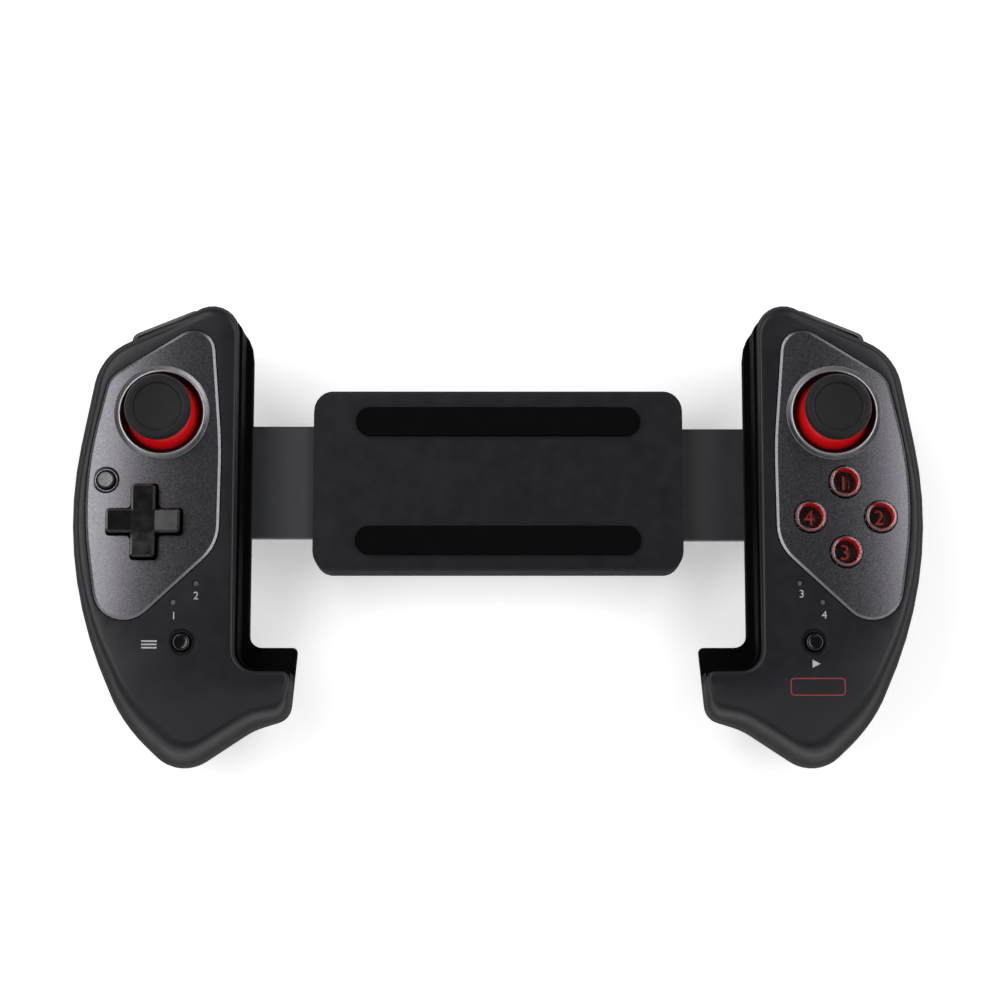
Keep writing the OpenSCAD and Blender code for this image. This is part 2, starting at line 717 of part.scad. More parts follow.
// Small round button on a seat at height z
module small_button(at, z) {
    r = small_d / 2;
    top = z + small_rise;
    round_r = 0.5;
    keep_r = r + small_slip + flange_lip;
    stem = stem_r * 0.8;
    edge = [for (t = [0:22.5:90]) [r - round_r + round_r * cos(t), top - round_r + round_r * sin(t)]];
    translate([at.x, at.y, 0]) rotate_extrude() polygon(concat(
        [[0, stem_low], [stem, stem_low], [stem, roof_z - flange_t], [keep_r, roof_z - flange_t],
         [keep_r, roof_z], [r, roof_z]], edge, [[r - 2 * round_r, top - 0.12], [0, top - slip]]));
}

module menu_button() {
    color("#1b1b1e") small_button(MENU, face_z);
}

module mode_button() {
    color("#5f6064") small_button(MODE, plate_z);
}

// Light pipes from the board to the face
module led_lenses() {
    color("#4a4c50") for (l = LEDS) translate([l.x, l.y, board_top])
        cylinder(r = led_d / 2, h = face_z - board_top - led_sink);
}

// Shoulder button: bar along the crest with a bevelled front and a keeper behind the wall
module shoulder_button() {
    h = shoulder_w / 2;
    b = shoulder_bevel;
    top = parting_z - shoulder_gap;
    steps = [2, 2, 6, 6];
    low = outline([[-h, keeper_y, 0.4], [h, keeper_y, 0.4], [h, shoulder_out, 2.6],
        [-h, shoulder_out, 2.6]], steps);
    high = outline([[b - h, keeper_y, 0.4], [h - b, keeper_y, 0.4], [h - b, shoulder_out - b, 2],
        [b - h, shoulder_out - b, 2]], steps);
    color("#1a1b1d") at_shoulder() union() {
        loft([level(low, shoulder_low), level(low, top - b), level(high, top)],
            [0, 0, shoulder_low], [0, 0, top]);
        block([-h - keeper_t, keeper_y - keeper_t, shoulder_low + keeper_rise],
            [h + keeper_t, keeper_y + 0.2, top - b]);
    }
}

// Trigger: curved finger lever seen from the side, hung on a pin. Rows: y, z, radius
TRIGGER = [
    [hinge_y - boss_r, hinge_z + boss_r, 2],
    [hinge_y - boss_r, hinge_z - boss_r, 2],
    [-3.2, hinge_z - 2.7, 1.8],
    [-3.4, 1, 0.9],
    [-0.6, 0.8, 0.9],
    [3.2, hinge_z - 2.1, 5],
    [1.6, hinge_z + boss_r, 1.6]
];

module trigger() {
    w = trigger_w / 2;
    notch = 4.2;
    ring = boss_r + 0.8;
    color("#1a1b1d") difference() {
        at_shoulder() translate([-w, 0, 0]) rotate([90, 0, 90]) linear_extrude(trigger_w)
            polygon(outline(TRIGGER, [4, 4, 4, 3, 3, 8, 5]));
        at_shoulder() block([-notch, hinge_y - ring, hinge_z - ring],
            [notch, hinge_y + ring, hinge_z + ring]);
        at_hinge(-trigger_w) cylinder(r = pin_d / 2 + run_fit, h = 2 * trigger_w);
    }
}

module trigger_pin() {
    color("#b5b7ba") at_hinge(press_gap - pin_half) cylinder(r = pin_d / 2, h = 2 * (pin_half - press_gap));
}

// Wire coil along X with mean radius r and length l
module coil(r, l, turns) {
    per_turn = 8;
    m = 6;
    n = turns * per_turn;
    rings = [for (i = [0:n])
        let (a = 360 * i / per_turn, out = [0, cos(a), sin(a)], at = [l * i / n, 0, 0] + r * out)
        [for (k = [0:m - 1]) at + wire_d / 2 * (cos(60 * k) * [1, 0, 0] - sin(60 * k) * out)]];
    loft(rings, [0, r, 0], [l, r, 0]);
}

module trigger_spring() {
    long = 6.4;
    color("#9a9ca0") at_shoulder() translate([-long / 2, hinge_y, hinge_z])
        coil(pin_d / 2 + wire_d / 2 + 0.3, long, 5);
}

module circuit_board() {
    color("#1f4d33") difference() {
        intersection() {
            slab(board_z, board_t) polygon(outline(inset(GRIP, wall + 1.6), GRIP_STEPS));
            block([-board_reach, -grip_h, board_z - 1], [grip_w, grip_h, board_top + 1]);
        }
        at_screws() translate([0, 0, parting_z]) cylinder(r = pillar_r + slip, h = front_depth);
    }
}

// Rubber mat: round sheet with a dome under each stem
module dome_mat(at, reach, count) {
    translate([at.x, at.y, board_top]) {
        cylinder(r = reach + 3.6, h = mat_t);
        for (q = [1:count]) rotate(90 * q) translate([reach, 0, mat_t])
            cylinder(r1 = 3, r2 = stem_r, h = dome_h);
    }
}

module button_mat(side) {
    color("#3a3a3d") {
        dome_mat(MENU, 0, 1);
        if (side < 0) {
            dome_mat(PAD, pad_w / 2 - 3, 4);
            translate([PAD.x, PAD.y, board_top]) difference() {
                cylinder(r = ball_r + 0.4, h = ball_z - board_top - 0.8);
                translate([0, 0, ball_z - board_top]) sphere(r = ball_r + run_fit);
            }
            dome_mat(MODE, 0, 1);
        } else {
            dome_mat(ACTION, action_pitch, 4);
        }
    }
}

// Screws of one grip: four through the rear shell and two that hold the slider
module screw_head(r, t) {
    arm = 0.6 * r;
    half = 0.14 * r;
    difference() {
        translate([0, 0, -t]) cylinder(r = r, h = t);
        for (q = [0, 90]) rotate(q) block([-arm, -half, -t - 1], [arm, half, -t / 2]);
    }
}
module screw(length) {
    screw_head(screw_head_r, screw_head_t);
    cylinder(r = screw_r, h = length);
}

module screws(side) {
    color("#8d8f92") {
        at_screws() translate([0, 0, screw_seat_z]) screw(screw_top_z - screw_seat_z);
        at_slider_screws(layer_z(side) + slider_t) mirror([0, 0, 1]) screw(slider_t + 5);
    }
}

module battery() {
    half = battery_size / 2;
    color("#c9c3b4") translate([spine_x, battery_y, floor_t + 0.1]) linear_extrude(battery_size.z)
        polygon(outline(box_rows([-half.x, -half.y], [half.x, half.y], 1.5), [3, 3, 3, 3]));
}

// Charging socket on a small board behind the right jaw wall
module charge_port() {
    w = port_size.y / 2;
    s = port_skin;
    color("#a9acb0") translate([port_x, port_y, port_z]) union() {
        difference() {
            block([-1.4, -w, 0], [port_size.x - 1.4, w, port_size.z]);
            block([-2, s - w, s], [port_size.x - 1.4 - s, w - s, port_size.z - s]);
        }
        block([3.4, -w - 1.5, -1], [port_size.x, w + 1.5, 0.1]);
        block([-0.6, -w * 0.7, 1.3], [port_size.x - 1.6, w * 0.7, 1.9]);
    }
}

// Bridge: sleeve of two covers round both sliders
module sleeve_body() {
    b = bridge_h / 2;
    plan = box_rows([-sleeve_half, bridge_up - b], [sleeve_half, bridge_up + b], cover_r);
    side = [[-b, bridge_z, edge_r], [b, bridge_z, edge_r], [b, bridge_top, crisp], [-b, bridge_top, crisp]];
    intersection() {
        slab(bridge_z, bridge_top - bridge_z) polygon(outline(plan, [6, 6, 6, 6]));
        translate([-sleeve_half, bridge_up, 0]) rotate([90, 0, 90]) linear_extrude(2 * sleeve_half)
            polygon(outline(side, [6, 6, 4, 4]));
    }
}

module sleeve_room() {
    l = sleeve_half - end_wall;
    tongue_y = slider_w / 2 + slip;
    block([-l, bridge_up - room_y, bridge_z + bridge_wall],
        [l, bridge_up + room_y, bridge_top - bridge_wall]);
    for (side = [-1, 1]) mirror([side < 0 ? 1 : 0, 0, 0])
        block([l - 1, bridge_up - tongue_y, layer_z(side) - slip],
            [sleeve_half + 1, bridge_up + tongue_y, layer_z(side) + slider_t + slip]);
}

module strip_outline(grow) {
    half = [strip_l / 2 + grow, strip_w / 2 + grow];
    polygon(outline(box_rows(-half, half, half.y - 0.1), [6, 6, 6, 6]));
}

module bridge_half(low, high) {
    difference() {
        intersection() {
            sleeve_body();
            block([-jaw_gap, -grip_h, low], [jaw_gap, grip_h, high]);
        }
        sleeve_room();
        at_bridge_screws() translate([0, 0, -1]) {
            cylinder(r = bridge_screw_r + press_gap, h = bridge_top - bridge_wall - bridge_z + 1);
            cylinder(r = bridge_head_r + slip, h = bridge_head_sink + 1);
        }
        for (e = [-1, 1]) translate([0, bridge_up + e * strip_y, bridge_top - strip_sink])
            linear_extrude(liner_t) strip_outline(slip / 2);
    }
}

module bridge_front_cover() {
    color("#232427") bridge_half(bridge_split, bridge_top + 1);
}

module bridge_rear_cover() {
    color("#1d1e21") bridge_half(bridge_z - 1, bridge_split);
}

module bridge_pads() {
    color("#101012") for (e = [-1, 1]) translate([0, bridge_up + e * strip_y, bridge_top - strip_sink])
        linear_extrude(strip_sink + liner_t) strip_outline(0);
}

module bridge_screws() {
    color("#8d8f92") at_bridge_screws() translate([0, 0, bridge_head_sink]) {
        screw_head(bridge_head_r, bridge_head_t);
        cylinder(r = bridge_screw_r, h = bridge_top - bridge_wall - bridge_z - bridge_head_sink - 0.4);
    }
}

// Slider: flat tongue screwed into the grip, with a stop tab that takes the return spring
module slider(side) {
    w = slider_w / 2;
    z = layer_z(side);
    tab = [w - 0.5, room_y - slip];
    tab_y = side < 0 ? tab : [-tab[1], -tab[0]];
    color("#33353a") difference() {
        union() {
            block([slider_end, bridge_up - w, z], [slider_root, bridge_up + w, z + slider_t]);
            block([slider_end, bridge_up + tab_y[0], z],
                [slider_end + tab_l, bridge_up + tab_y[1], z + slider_t]);
        }
        at_slider_screws(z - 1) cylinder(r = screw_r + slip, h = slider_t + 2);
    }
}

// Return spring: from the slider's stop tab to the far end of the bridge
module return_spring(side) {
    start = slider_end + jaw_x;
    reach = start + sleeve_half - end_wall - wire_d - 2 * run_fit;
    color("#9a9ca0") translate([start - wire_d / 2 - run_fit, bridge_up - side * channel_y, spring_z(side)])
        mirror([1, 0, 0]) coil((spring_d - wire_d) / 2, reach, 14);
}

at_grip(-1) front_shell(-1);  // left_front_shell
at_grip(1) front_shell(1);  // right_front_shell
at_grip(-1) rear_shell(-1);  // left_rear_shell
at_grip(1) rear_shell(1);  // right_rear_shell
at_grip(-1) face_plate(-1);  // left_face_plate
at_grip(1) face_plate(1);  // right_face_plate
at_grip(-1) clamp_liner();  // left_clamp_liner
at_grip(1) clamp_liner();  // right_clamp_liner
at_grip(-1) stick_bezel();  // left_stick_bezel
at_grip(1) stick_bezel();  // right_stick_bezel
at_grip(-1) stick_cap();  // left_stick_cap
at_grip(1) stick_cap();  // right_stick_cap
at_grip(-1) stick_dome();  // left_stick_dome
at_grip(1) stick_dome();  // right_stick_dome
at_grip(-1) stick_gimbal();  // left_stick_gimbal
at_grip(1) stick_gimbal();  // right_stick_gimbal
at_grip(-1) stick_carrier();  // left_stick_carrier
at_grip(1) stick_carrier();  // right_stick_carrier
at_grip(-1) stick_housing();  // left_stick_housing
at_grip(1) stick_housing();  // right_stick_housing
at_grip(-1) direction_pad();
at_grip(-1) direction_pivot();
at_grip(1) action_button(1);  // top_button
at_grip(1) action_button(0);  // outer_button
at_grip(1) action_button(3);  // bottom_button
at_grip(1) action_button(2);  // inner_button
at_grip(-1) menu_button();  // left_menu_button
at_grip(1) menu_button();  // right_menu_button
at_grip(-1) mode_button();
at_grip(-1) led_lenses();  // left_led_lenses
at_grip(1) led_lenses();  // right_led_lenses
at_grip(-1) shoulder_button();  // left_shoulder_button
at_grip(1) shoulder_button();  // right_shoulder_button
at_grip(-1) trigger();  // left_trigger
at_grip(1) trigger();  // right_trigger
at_grip(-1) trigger_pin();  // left_trigger_pin
at_grip(1) trigger_pin();  // right_trigger_pin
at_grip(-1) trigger_spring();  // left_trigger_spring
at_grip(1) trigger_spring();  // right_trigger_spring
at_grip(-1) circuit_board();  // left_circuit_board
at_grip(1) circuit_board();  // right_circuit_board
at_grip(-1) button_mat(-1);  // left_button_mat
at_grip(1) button_mat(1);  // right_button_mat
at_grip(-1) screws(-1);  // left_screws
at_grip(1) screws(1);  // right_screws
at_grip(-1) battery();
at_grip(1) charge_port();
bridge_front_cover();
bridge_rear_cover();
bridge_pads();
bridge_screws();
at_grip(-1) slider(-1);  // left_slider
at_grip(1) slider(1);  // right_slider
mirror([1, 0, 0]) return_spring(-1);  // left_return_spring
return_spring(1);  // right_return_spring
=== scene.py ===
# %% [markdown]
# # A telescopic game controller
# Two grips hang on a spring-loaded bridge that pulls them towards each other. The solids come from the
# CAD model, so every shape below sits where the CAD says and only has to be finished: smoothed, given its
# real material, and fitted with the small pieces that a solid model leaves out.

# %% Load the solids
import json
import math
import bmesh
import bpy
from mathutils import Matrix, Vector


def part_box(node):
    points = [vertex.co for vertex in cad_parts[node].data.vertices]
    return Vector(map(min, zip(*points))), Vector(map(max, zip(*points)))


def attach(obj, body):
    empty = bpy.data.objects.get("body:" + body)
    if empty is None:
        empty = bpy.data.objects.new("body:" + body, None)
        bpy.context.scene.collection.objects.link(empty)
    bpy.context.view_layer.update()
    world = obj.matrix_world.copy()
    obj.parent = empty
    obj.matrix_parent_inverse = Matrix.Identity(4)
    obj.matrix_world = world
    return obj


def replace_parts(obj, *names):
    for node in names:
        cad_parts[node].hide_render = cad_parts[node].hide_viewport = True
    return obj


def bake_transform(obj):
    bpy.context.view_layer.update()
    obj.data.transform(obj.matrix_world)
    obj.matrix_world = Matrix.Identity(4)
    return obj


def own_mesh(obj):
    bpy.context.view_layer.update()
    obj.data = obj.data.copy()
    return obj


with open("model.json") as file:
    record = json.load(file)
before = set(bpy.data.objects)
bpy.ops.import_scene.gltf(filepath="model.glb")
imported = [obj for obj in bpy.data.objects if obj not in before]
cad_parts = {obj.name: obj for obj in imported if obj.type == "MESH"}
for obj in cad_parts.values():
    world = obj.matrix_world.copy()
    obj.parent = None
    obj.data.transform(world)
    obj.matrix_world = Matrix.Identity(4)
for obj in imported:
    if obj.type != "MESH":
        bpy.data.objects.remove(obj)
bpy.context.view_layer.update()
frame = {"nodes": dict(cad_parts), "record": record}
nodes = frame["nodes"]
scene = bpy.context.scene
MM = 0.001

# %% [markdown]
# ## Camera
# The photograph looks almost straight down on the faces, tilted nine degrees towards the lower edge, from
# about 0.7 m. A longer lens from further away would flatten the sticks, so the distance comes first, and
# the lens follows from the scale of the photograph: 3.571 pixels for each millimetre at the middle of the
# object, in a frame of 1001 pixels.

# %% Camera
TILT = math.radians(9)
DISTANCE = 680 * MM
PHOTO_PX = 1001
PX_PER_MM = 3.571
aim = Vector((0.7, 9.4, 28)) * MM

camera = bpy.data.objects.new("camera", bpy.data.cameras.new("camera"))
camera.data.sensor_width = 36
camera.data.lens = PX_PER_MM * (DISTANCE / MM) * camera.data.sensor_width / PHOTO_PX
camera.location = aim + DISTANCE * Vector((0, -math.sin(TILT), math.cos(TILT)))
camera.rotation_euler = (aim - camera.location).to_track_quat("-Z", "Y").to_euler()
camera.data.clip_start = 0.05
scene.collection.objects.link(camera)
scene.camera = camera
print("lens in mm:", round(camera.data.lens, 2))

# %% [markdown]
# ## Small helpers
# Colours are given as sRGB hex, the way a paint program shows them, but shaders add up light, so
# one function turns them to linear values. A second one adds a shader node with its settings and links,
# which keeps each material short enough to read as a recipe.

# %% Colour and node helpers
def linear(hex_colour):
    parts = [int(hex_colour[i:i + 2], 16) / 255 for i in (1, 3, 5)]
    return [p / 12.92 if p <= 0.04045 else ((p + 0.055) / 1.055) ** 2.4 for p in parts] + [1]


def add(tree, kind, inputs=None, **settings):
    node = tree.nodes.new(kind)
    for name, value in settings.items():
        setattr(node, name, value)
    for socket, value in (inputs or {}).items():
        if isinstance(value, bpy.types.NodeSocket):
            tree.links.new(value, node.inputs[socket])
        else:
            node.inputs[socket].default_value = value
    return node


def per_metre(size_mm):
    return 1 / (size_mm * MM)


print("mid grey in linear light:", round(linear("#808080")[0], 3))

# %% [markdown]
# ## Starting a material
# Every finish here starts from the Principled shader with the numbers of the real material on its
# sockets. Only what changes over the surface is linked: grain, flakes, mottling. The object coordinates
# are in metres and fixed to the solid, so a pattern of 0.3 mm is 0.3 mm on every piece. Moulded grain is
# mostly about 0.1 mm, too fine to show from this distance, so it is drawn coarser below.

# %% Start a material
def new_finish(name, **sockets):
    material = bpy.data.materials.new(name)
    material.use_nodes = True
    tree = material.node_tree
    shader = tree.nodes["Principled BSDF"]
    for socket, value in sockets.items():
        shader.inputs[socket.replace("_", " ")].default_value = value
    place = add(tree, "ShaderNodeTexCoord").outputs["Object"]
    return material, tree, shader, place


def grain(tree, place, size_mm, depth_mm, strength):
    """Moulded or sprayed grain: bumps of one size, as a normal for the shader."""
    bumps = add(tree, "ShaderNodeTexNoise", {"Vector": place, "Scale": per_metre(size_mm), "Detail": 2.0})
    return add(tree, "ShaderNodeBump", {"Height": bumps.outputs["Fac"], "Distance": depth_mm * MM,
                                        "Strength": strength}).outputs["Normal"]


def mottle(tree, place, size_mm, low, high):
    """A value that drifts over the surface, for roughness that isn't the same all over."""
    clouds = add(tree, "ShaderNodeTexNoise", {"Vector": place, "Scale": per_metre(size_mm), "Detail": 3.0})
    return add(tree, "ShaderNodeMapRange", {"Value": clouds.outputs["Fac"], "From Min": 0.3, "From Max": 0.7,
                                            "To Min": low, "To Max": high}).outputs["Result"]


def drift(tree, place, size_mm, first, second):
    """Two close tones that run into each other over the surface."""
    tones = {"Factor": mottle(tree, place, size_mm, 0.0, 1.0), 6: linear(first), 7: linear(second)}
    return add(tree, "ShaderNodeMix", tones, data_type="RGBA").outputs[2]


print("a pattern of 0.3 mm repeats", round(per_metre(0.3)), "times in a metre")

# %% [markdown]
# ## Moulded ABS shells
# The grips are ABS, moulded in a tool with a fine spark-eroded texture. That gives a charcoal black with
# a wide, soft sheen instead of a reflection. The real texture is about 0.1 mm, too fine to show at this
# distance, so it is drawn at 0.45 mm and kept shallow. Seen at a slant its peaks hide the gloss between
# them, so the roughness rises towards the outline; without that the pale floor would draw a bright rim
# round the grips. The heel of the real grip also seems to fall away very slightly towards the palm, over a
# radius of about 0.15 m, which lightens it. The solid is flat there, so the fall is only drawn as a bump.

# %% Shell plastic
HEEL_FROM = -22
HEEL_RADIUS = 150


def falling_curve(tree, off, radius_mm, **under):
    """A shallow curve that drops with the distance from its top, as a normal for the shader."""
    square = add(tree, "ShaderNodeMath", {0: off, 1: off}, operation="MULTIPLY").outputs[0]
    drop = add(tree, "ShaderNodeMath", {0: square, 1: -1 / (2 * radius_mm * MM)}, operation="MULTIPLY")
    return add(tree, "ShaderNodeBump", {"Height": drop.outputs[0], "Distance": 1.0, "Strength": 1.0,
                                        **under}).outputs["Normal"]


# Charcoal with a soft sheen
shell_plastic, tree, shader, place = new_finish("moulded_abs_fine_texture", IOR=1.53,
                                                Specular_IOR_Level=0.31)
tree.links.new(drift(tree, place, 9, "#111115", "#151519"), shader.inputs["Base Color"])
slant = add(tree, "ShaderNodeLayerWeight", {"Blend": 0.5}).outputs["Facing"]
dull = add(tree, "ShaderNodeMapRange", {"Value": slant, "From Min": 0.35, "From Max": 0.7, "To Max": 0.6})
satin = add(tree, "ShaderNodeMath", {0: mottle(tree, place, 4, 0.33, 0.4), 1: dull.outputs["Result"]},
            operation="ADD")
tree.links.new(satin.outputs[0], shader.inputs["Roughness"])
along = add(tree, "ShaderNodeSeparateXYZ", {"Vector": place}).outputs["Y"]
below = add(tree, "ShaderNodeMath", {0: HEEL_FROM * MM, 1: along}, operation="SUBTRACT", use_clamp=True)
texture = grain(tree, place, 0.45, 0.012, 0.5)
heel = falling_curve(tree, below.outputs[0], HEEL_RADIUS, Normal=texture)
tree.links.new(heel, shader.inputs["Normal"])

# Dull dark grey, as the tool is left plain where the hand does not go
inner_plastic, tree, shader, place = new_finish("moulded_abs_plain", IOR=1.53, Base_Color=linear("#232427"))
tree.links.new(mottle(tree, place, 5, 0.46, 0.58), shader.inputs["Roughness"])
tree.links.new(grain(tree, place, 0.6, 0.01, 0.4), shader.inputs["Normal"])
print("shell materials:", shell_plastic.name, inner_plastic.name)

# %% [markdown]
# ## Metallic paint on the face plates
# The inlays are ABS sprayed with gunmetal paint: aluminium flakes under a satin lacquer. Each flake leans
# its own way and catches the light alone, which the eye reads as a fine sparkle. Voronoi cells, each with
# a tone and gloss of its own, stand for the flakes; real ones are 0.03 mm, so they are drawn at 0.3 mm to
# show. The real plate also seems slightly crowned across its width, a curve of about 0.14 m radius that
# makes it fade from light to dark. The solid is flat, so the crown is only drawn as a bump.

# %% Plate paint
FLAKE = 0.3
PLATE_MIDDLE = 94
CROWN_RADIUS = 135

# Grey that runs from light to dark across the plate, with a fine sparkle
plate_paint, tree, shader, place = new_finish("gunmetal_sprayed_paint", Metallic=1.0, Coat_Weight=0.25,
                                              Coat_Roughness=0.3)
flakes = add(tree, "ShaderNodeTexVoronoi", {"Vector": place, "Scale": per_metre(FLAKE)})
lean = add(tree, "ShaderNodeSeparateColor", {"Color": flakes.outputs["Color"]})
shade = add(tree, "ShaderNodeMix", {"Factor": lean.outputs["Red"], 6: linear("#656368"),
                                    7: linear("#716f75")}, data_type="RGBA")
tree.links.new(shade.outputs[2], shader.inputs["Base Color"])
gloss = add(tree, "ShaderNodeMapRange", {"Value": lean.outputs["Green"], "To Min": 0.24, "To Max": 0.32})
tree.links.new(gloss.outputs["Result"], shader.inputs["Roughness"])
across = add(tree, "ShaderNodeSeparateXYZ", {"Vector": place}).outputs["X"]
side = add(tree, "ShaderNodeMath", {0: across}, operation="ABSOLUTE").outputs[0]
off = add(tree, "ShaderNodeMath", {0: side, 1: PLATE_MIDDLE * MM}, operation="SUBTRACT").outputs[0]
tree.links.new(falling_curve(tree, off, CROWN_RADIUS), shader.inputs["Normal"])
print("plate paint nodes:", len(tree.nodes))

# %% [markdown]
# ## Rubber
# The clamp liner and the bridge strips are a soft black elastomer, and the stick caps a harder charcoal
# silicone. Rubber scatters light widely, so both are rough; the cap is a little lighter because it is
# handled and dusty.

# %% Rubber
# Deep black with hardly a highlight
liner_rubber, tree, shader, place = new_finish("moulded_elastomer_black", IOR=1.5, Specular_IOR_Level=0.05,
                                               Base_Color=linear("#050506"))
tree.links.new(mottle(tree, place, 6, 0.78, 0.9), shader.inputs["Roughness"])
tree.links.new(grain(tree, place, 0.5, 0.015, 0.5), shader.inputs["Normal"])

# Charcoal with a dusty bloom
cap_rubber, tree, shader, place = new_finish("moulded_silicone_charcoal", IOR=1.43, Specular_IOR_Level=0.3,
                                             Sheen_Weight=0.02, Sheen_Roughness=0.5)
tree.links.new(drift(tree, place, 2.5, "#0f0f12", "#141417"), shader.inputs["Base Color"])
tree.links.new(mottle(tree, place, 3, 0.5, 0.62), shader.inputs["Roughness"])
tree.links.new(grain(tree, place, 0.35, 0.02, 0.5), shader.inputs["Normal"])
print("rubbers:", liner_rubber.name, cap_rubber.name)

# %% [markdown]
# ## Plated ring
# The bezel round each stick is plated and satin: a metal, so its colour comes from its reflections. Only
# the lip is plated. The funnel inside it is left black, so that the red ball is not doubled in it, and
# the two are told apart by the distance from the stick's middle.

# %% Bezel metal
STICK = (93.2, 32.4)
LIP_INSIDE = 11.4


def beyond(tree, place, spots, radius_mm, mirrored=True):
    """1 outside the circles round these spots and 0 inside them, on both grips alike or on one."""
    spread = add(tree, "ShaderNodeSeparateXYZ", {"Vector": place})
    side = spread.outputs["X"]
    if mirrored:
        side = add(tree, "ShaderNodeMath", {0: side}, operation="ABSOLUTE").outputs[0]
    flat = add(tree, "ShaderNodeCombineXYZ", {"X": side, "Y": spread.outputs["Y"]}).outputs[0]
    nearest, *others = [add(tree, "ShaderNodeVectorMath", {0: flat, 1: (x * MM, y * MM, 0)},
                            operation="DISTANCE").outputs["Value"] for x, y in spots]
    for other in others:
        nearest = add(tree, "ShaderNodeMath", {0: nearest, 1: other}, operation="MINIMUM").outputs[0]
    return add(tree, "ShaderNodeMath", {0: nearest, 1: radius_mm * MM}, operation="GREATER_THAN").outputs[0]


# A pale satin ring with a soft glint round a black funnel
bezel_metal, tree, shader, place = new_finish("satin_plated_zinc", Specular_IOR_Level=0.08)
lip = beyond(tree, place, [STICK], LIP_INSIDE)
tree.links.new(lip, shader.inputs["Metallic"])
shade = add(tree, "ShaderNodeMix", {"Factor": lip, 6: linear("#060607"), 7: linear("#b2b2b6")},
            data_type="RGBA")
tree.links.new(shade.outputs[2], shader.inputs["Base Color"])
satin = add(tree, "ShaderNodeMapRange", {"Value": lip, "To Min": 0.6,
                                         "To Max": mottle(tree, place, 1.5, 0.28, 0.34)})
tree.links.new(satin.outputs["Result"], shader.inputs["Roughness"])
print("bezel:", bezel_metal.name)

# %% [markdown]
# ## Polished plastics
# The red ball under each stick, the direction pad and the menu buttons are polished in the tool. Gloss is
# a low roughness with slow waves in it, as a moulded face is never quite flat. The pad has a fine grain
# on top of its polish, which spreads the highlight on its arms.

# %% Polished plastics
# Strong red with a wet glint
dome_plastic, tree, shader, place = new_finish("polished_abs_red", IOR=1.53, Base_Color=linear("#d81216"))
tree.links.new(mottle(tree, place, 3, 0.16, 0.24), shader.inputs["Roughness"])
tree.links.new(grain(tree, place, 2.5, 0.02, 0.3), shader.inputs["Normal"])

# Black that mirrors the softboxes
button_plastic, tree, shader, place = new_finish("polished_abs_black", IOR=1.53, Base_Color=linear("#0a0a0b"))
tree.links.new(mottle(tree, place, 3, 0.12, 0.2), shader.inputs["Roughness"])
tree.links.new(grain(tree, place, 3, 0.01, 0.3), shader.inputs["Normal"])

# Black whose sloping arms each take a tone of their own
pad_plastic, tree, shader, place = new_finish("satin_abs_black", IOR=1.53, Specular_IOR_Level=0.9,
                                              Base_Color=linear("#0a0a0c"))
tree.links.new(mottle(tree, place, 3, 0.14, 0.22), shader.inputs["Roughness"])
tree.links.new(grain(tree, place, 0.6, 0.008, 0.3), shader.inputs["Normal"])
print("polished:", dome_plastic.name, button_plastic.name, pad_plastic.name)

# %% [markdown]
# ## Mode button and lenses
# The small mode button is a grey, speckled plastic on top and black round its edge. The indicator lenses
# are frosted polycarbonate over lamps that are off: a grey spot, ringed by painted shade where the hole in
# the shell round it would be dark. Each is one solid here, so its two tones are told apart by the distance
# from its middle.

# %% Mode button and lenses
MODE, MODE_TOP_R = (-108.2, 13.5), 1.95
LENSES, LENS_LIT_R = [(82.9, -15.2), (89.1, -20.4)], 0.6

# Stony grey with dark specks
mode_plastic, tree, shader, place = new_finish("textured_abs_grey", IOR=1.53)
specks = drift(tree, place, 0.7, "#5c5b5c", "#858284")
edge = beyond(tree, place, [MODE], MODE_TOP_R, mirrored=False)
shade = add(tree, "ShaderNodeMix", {"Factor": edge, 6: specks, 7: linear("#060607")}, data_type="RGBA")
tree.links.new(shade.outputs[2], shader.inputs["Base Color"])
tree.links.new(mottle(tree, place, 1, 0.4, 0.55), shader.inputs["Roughness"])
tree.links.new(grain(tree, place, 0.5, 0.02, 0.5), shader.inputs["Normal"])

# A milky dot that is not lit, ringed by painted shade of the hole round it
lens_plastic, tree, shader, place = new_finish("frosted_polycarbonate", IOR=1.58)
painted_hole_shade = beyond(tree, place, LENSES, LENS_LIT_R)
shade = add(tree, "ShaderNodeMix", {"Factor": painted_hole_shade, 6: linear("#4a4a4d"), 7: linear("#070708")},
            data_type="RGBA")
tree.links.new(shade.outputs[2], shader.inputs["Base Color"])
tree.links.new(mottle(tree, place, 0.6, 0.25, 0.45), shader.inputs["Roughness"])
print("mode button and lenses:", mode_plastic.name, lens_plastic.name)

# %% [markdown]
# ## Inside pieces
# The boards, pins, springs and the cell are hidden at rest, but a reader may take a shell off, so they
# get their own finish too: glass-fibre laminate under solder mask, zinc-plated steel, drawn wire and
# laminated foil. The screws are blackened, as their heads show in the back of a black shell.

# %% Inside finishes
WEAVE = 2.4

# Glossy green with a faint weave; real glass cloth is finer and would not show
board_laminate, tree, shader, place = new_finish("glass_fibre_solder_mask", IOR=1.55)
weave = add(tree, "ShaderNodeTexBrick", {"Vector": place, "Scale": per_metre(WEAVE), "Mortar Size": 0.03,
                                         "Color1": linear("#14472c"), "Color2": linear("#184f32"),
                                         "Mortar": linear("#0f3a24")})
tree.links.new(weave.outputs["Color"], shader.inputs["Base Color"])
tree.links.new(mottle(tree, place, 3, 0.3, 0.4), shader.inputs["Roughness"])

# Bright, slightly cloudy metal
bright_steel, tree, shader, place = new_finish("zinc_plated_steel", Metallic=1.0,
                                               Base_Color=linear("#b9bbbe"))
tree.links.new(mottle(tree, place, 0.8, 0.25, 0.4), shader.inputs["Roughness"])

# Near black metal with a dull glint
black_steel, tree, shader, place = new_finish("black_oxide_steel", Metallic=1.0,
                                              Base_Color=linear("#2c2d30"))
tree.links.new(mottle(tree, place, 0.8, 0.35, 0.5), shader.inputs["Roughness"])

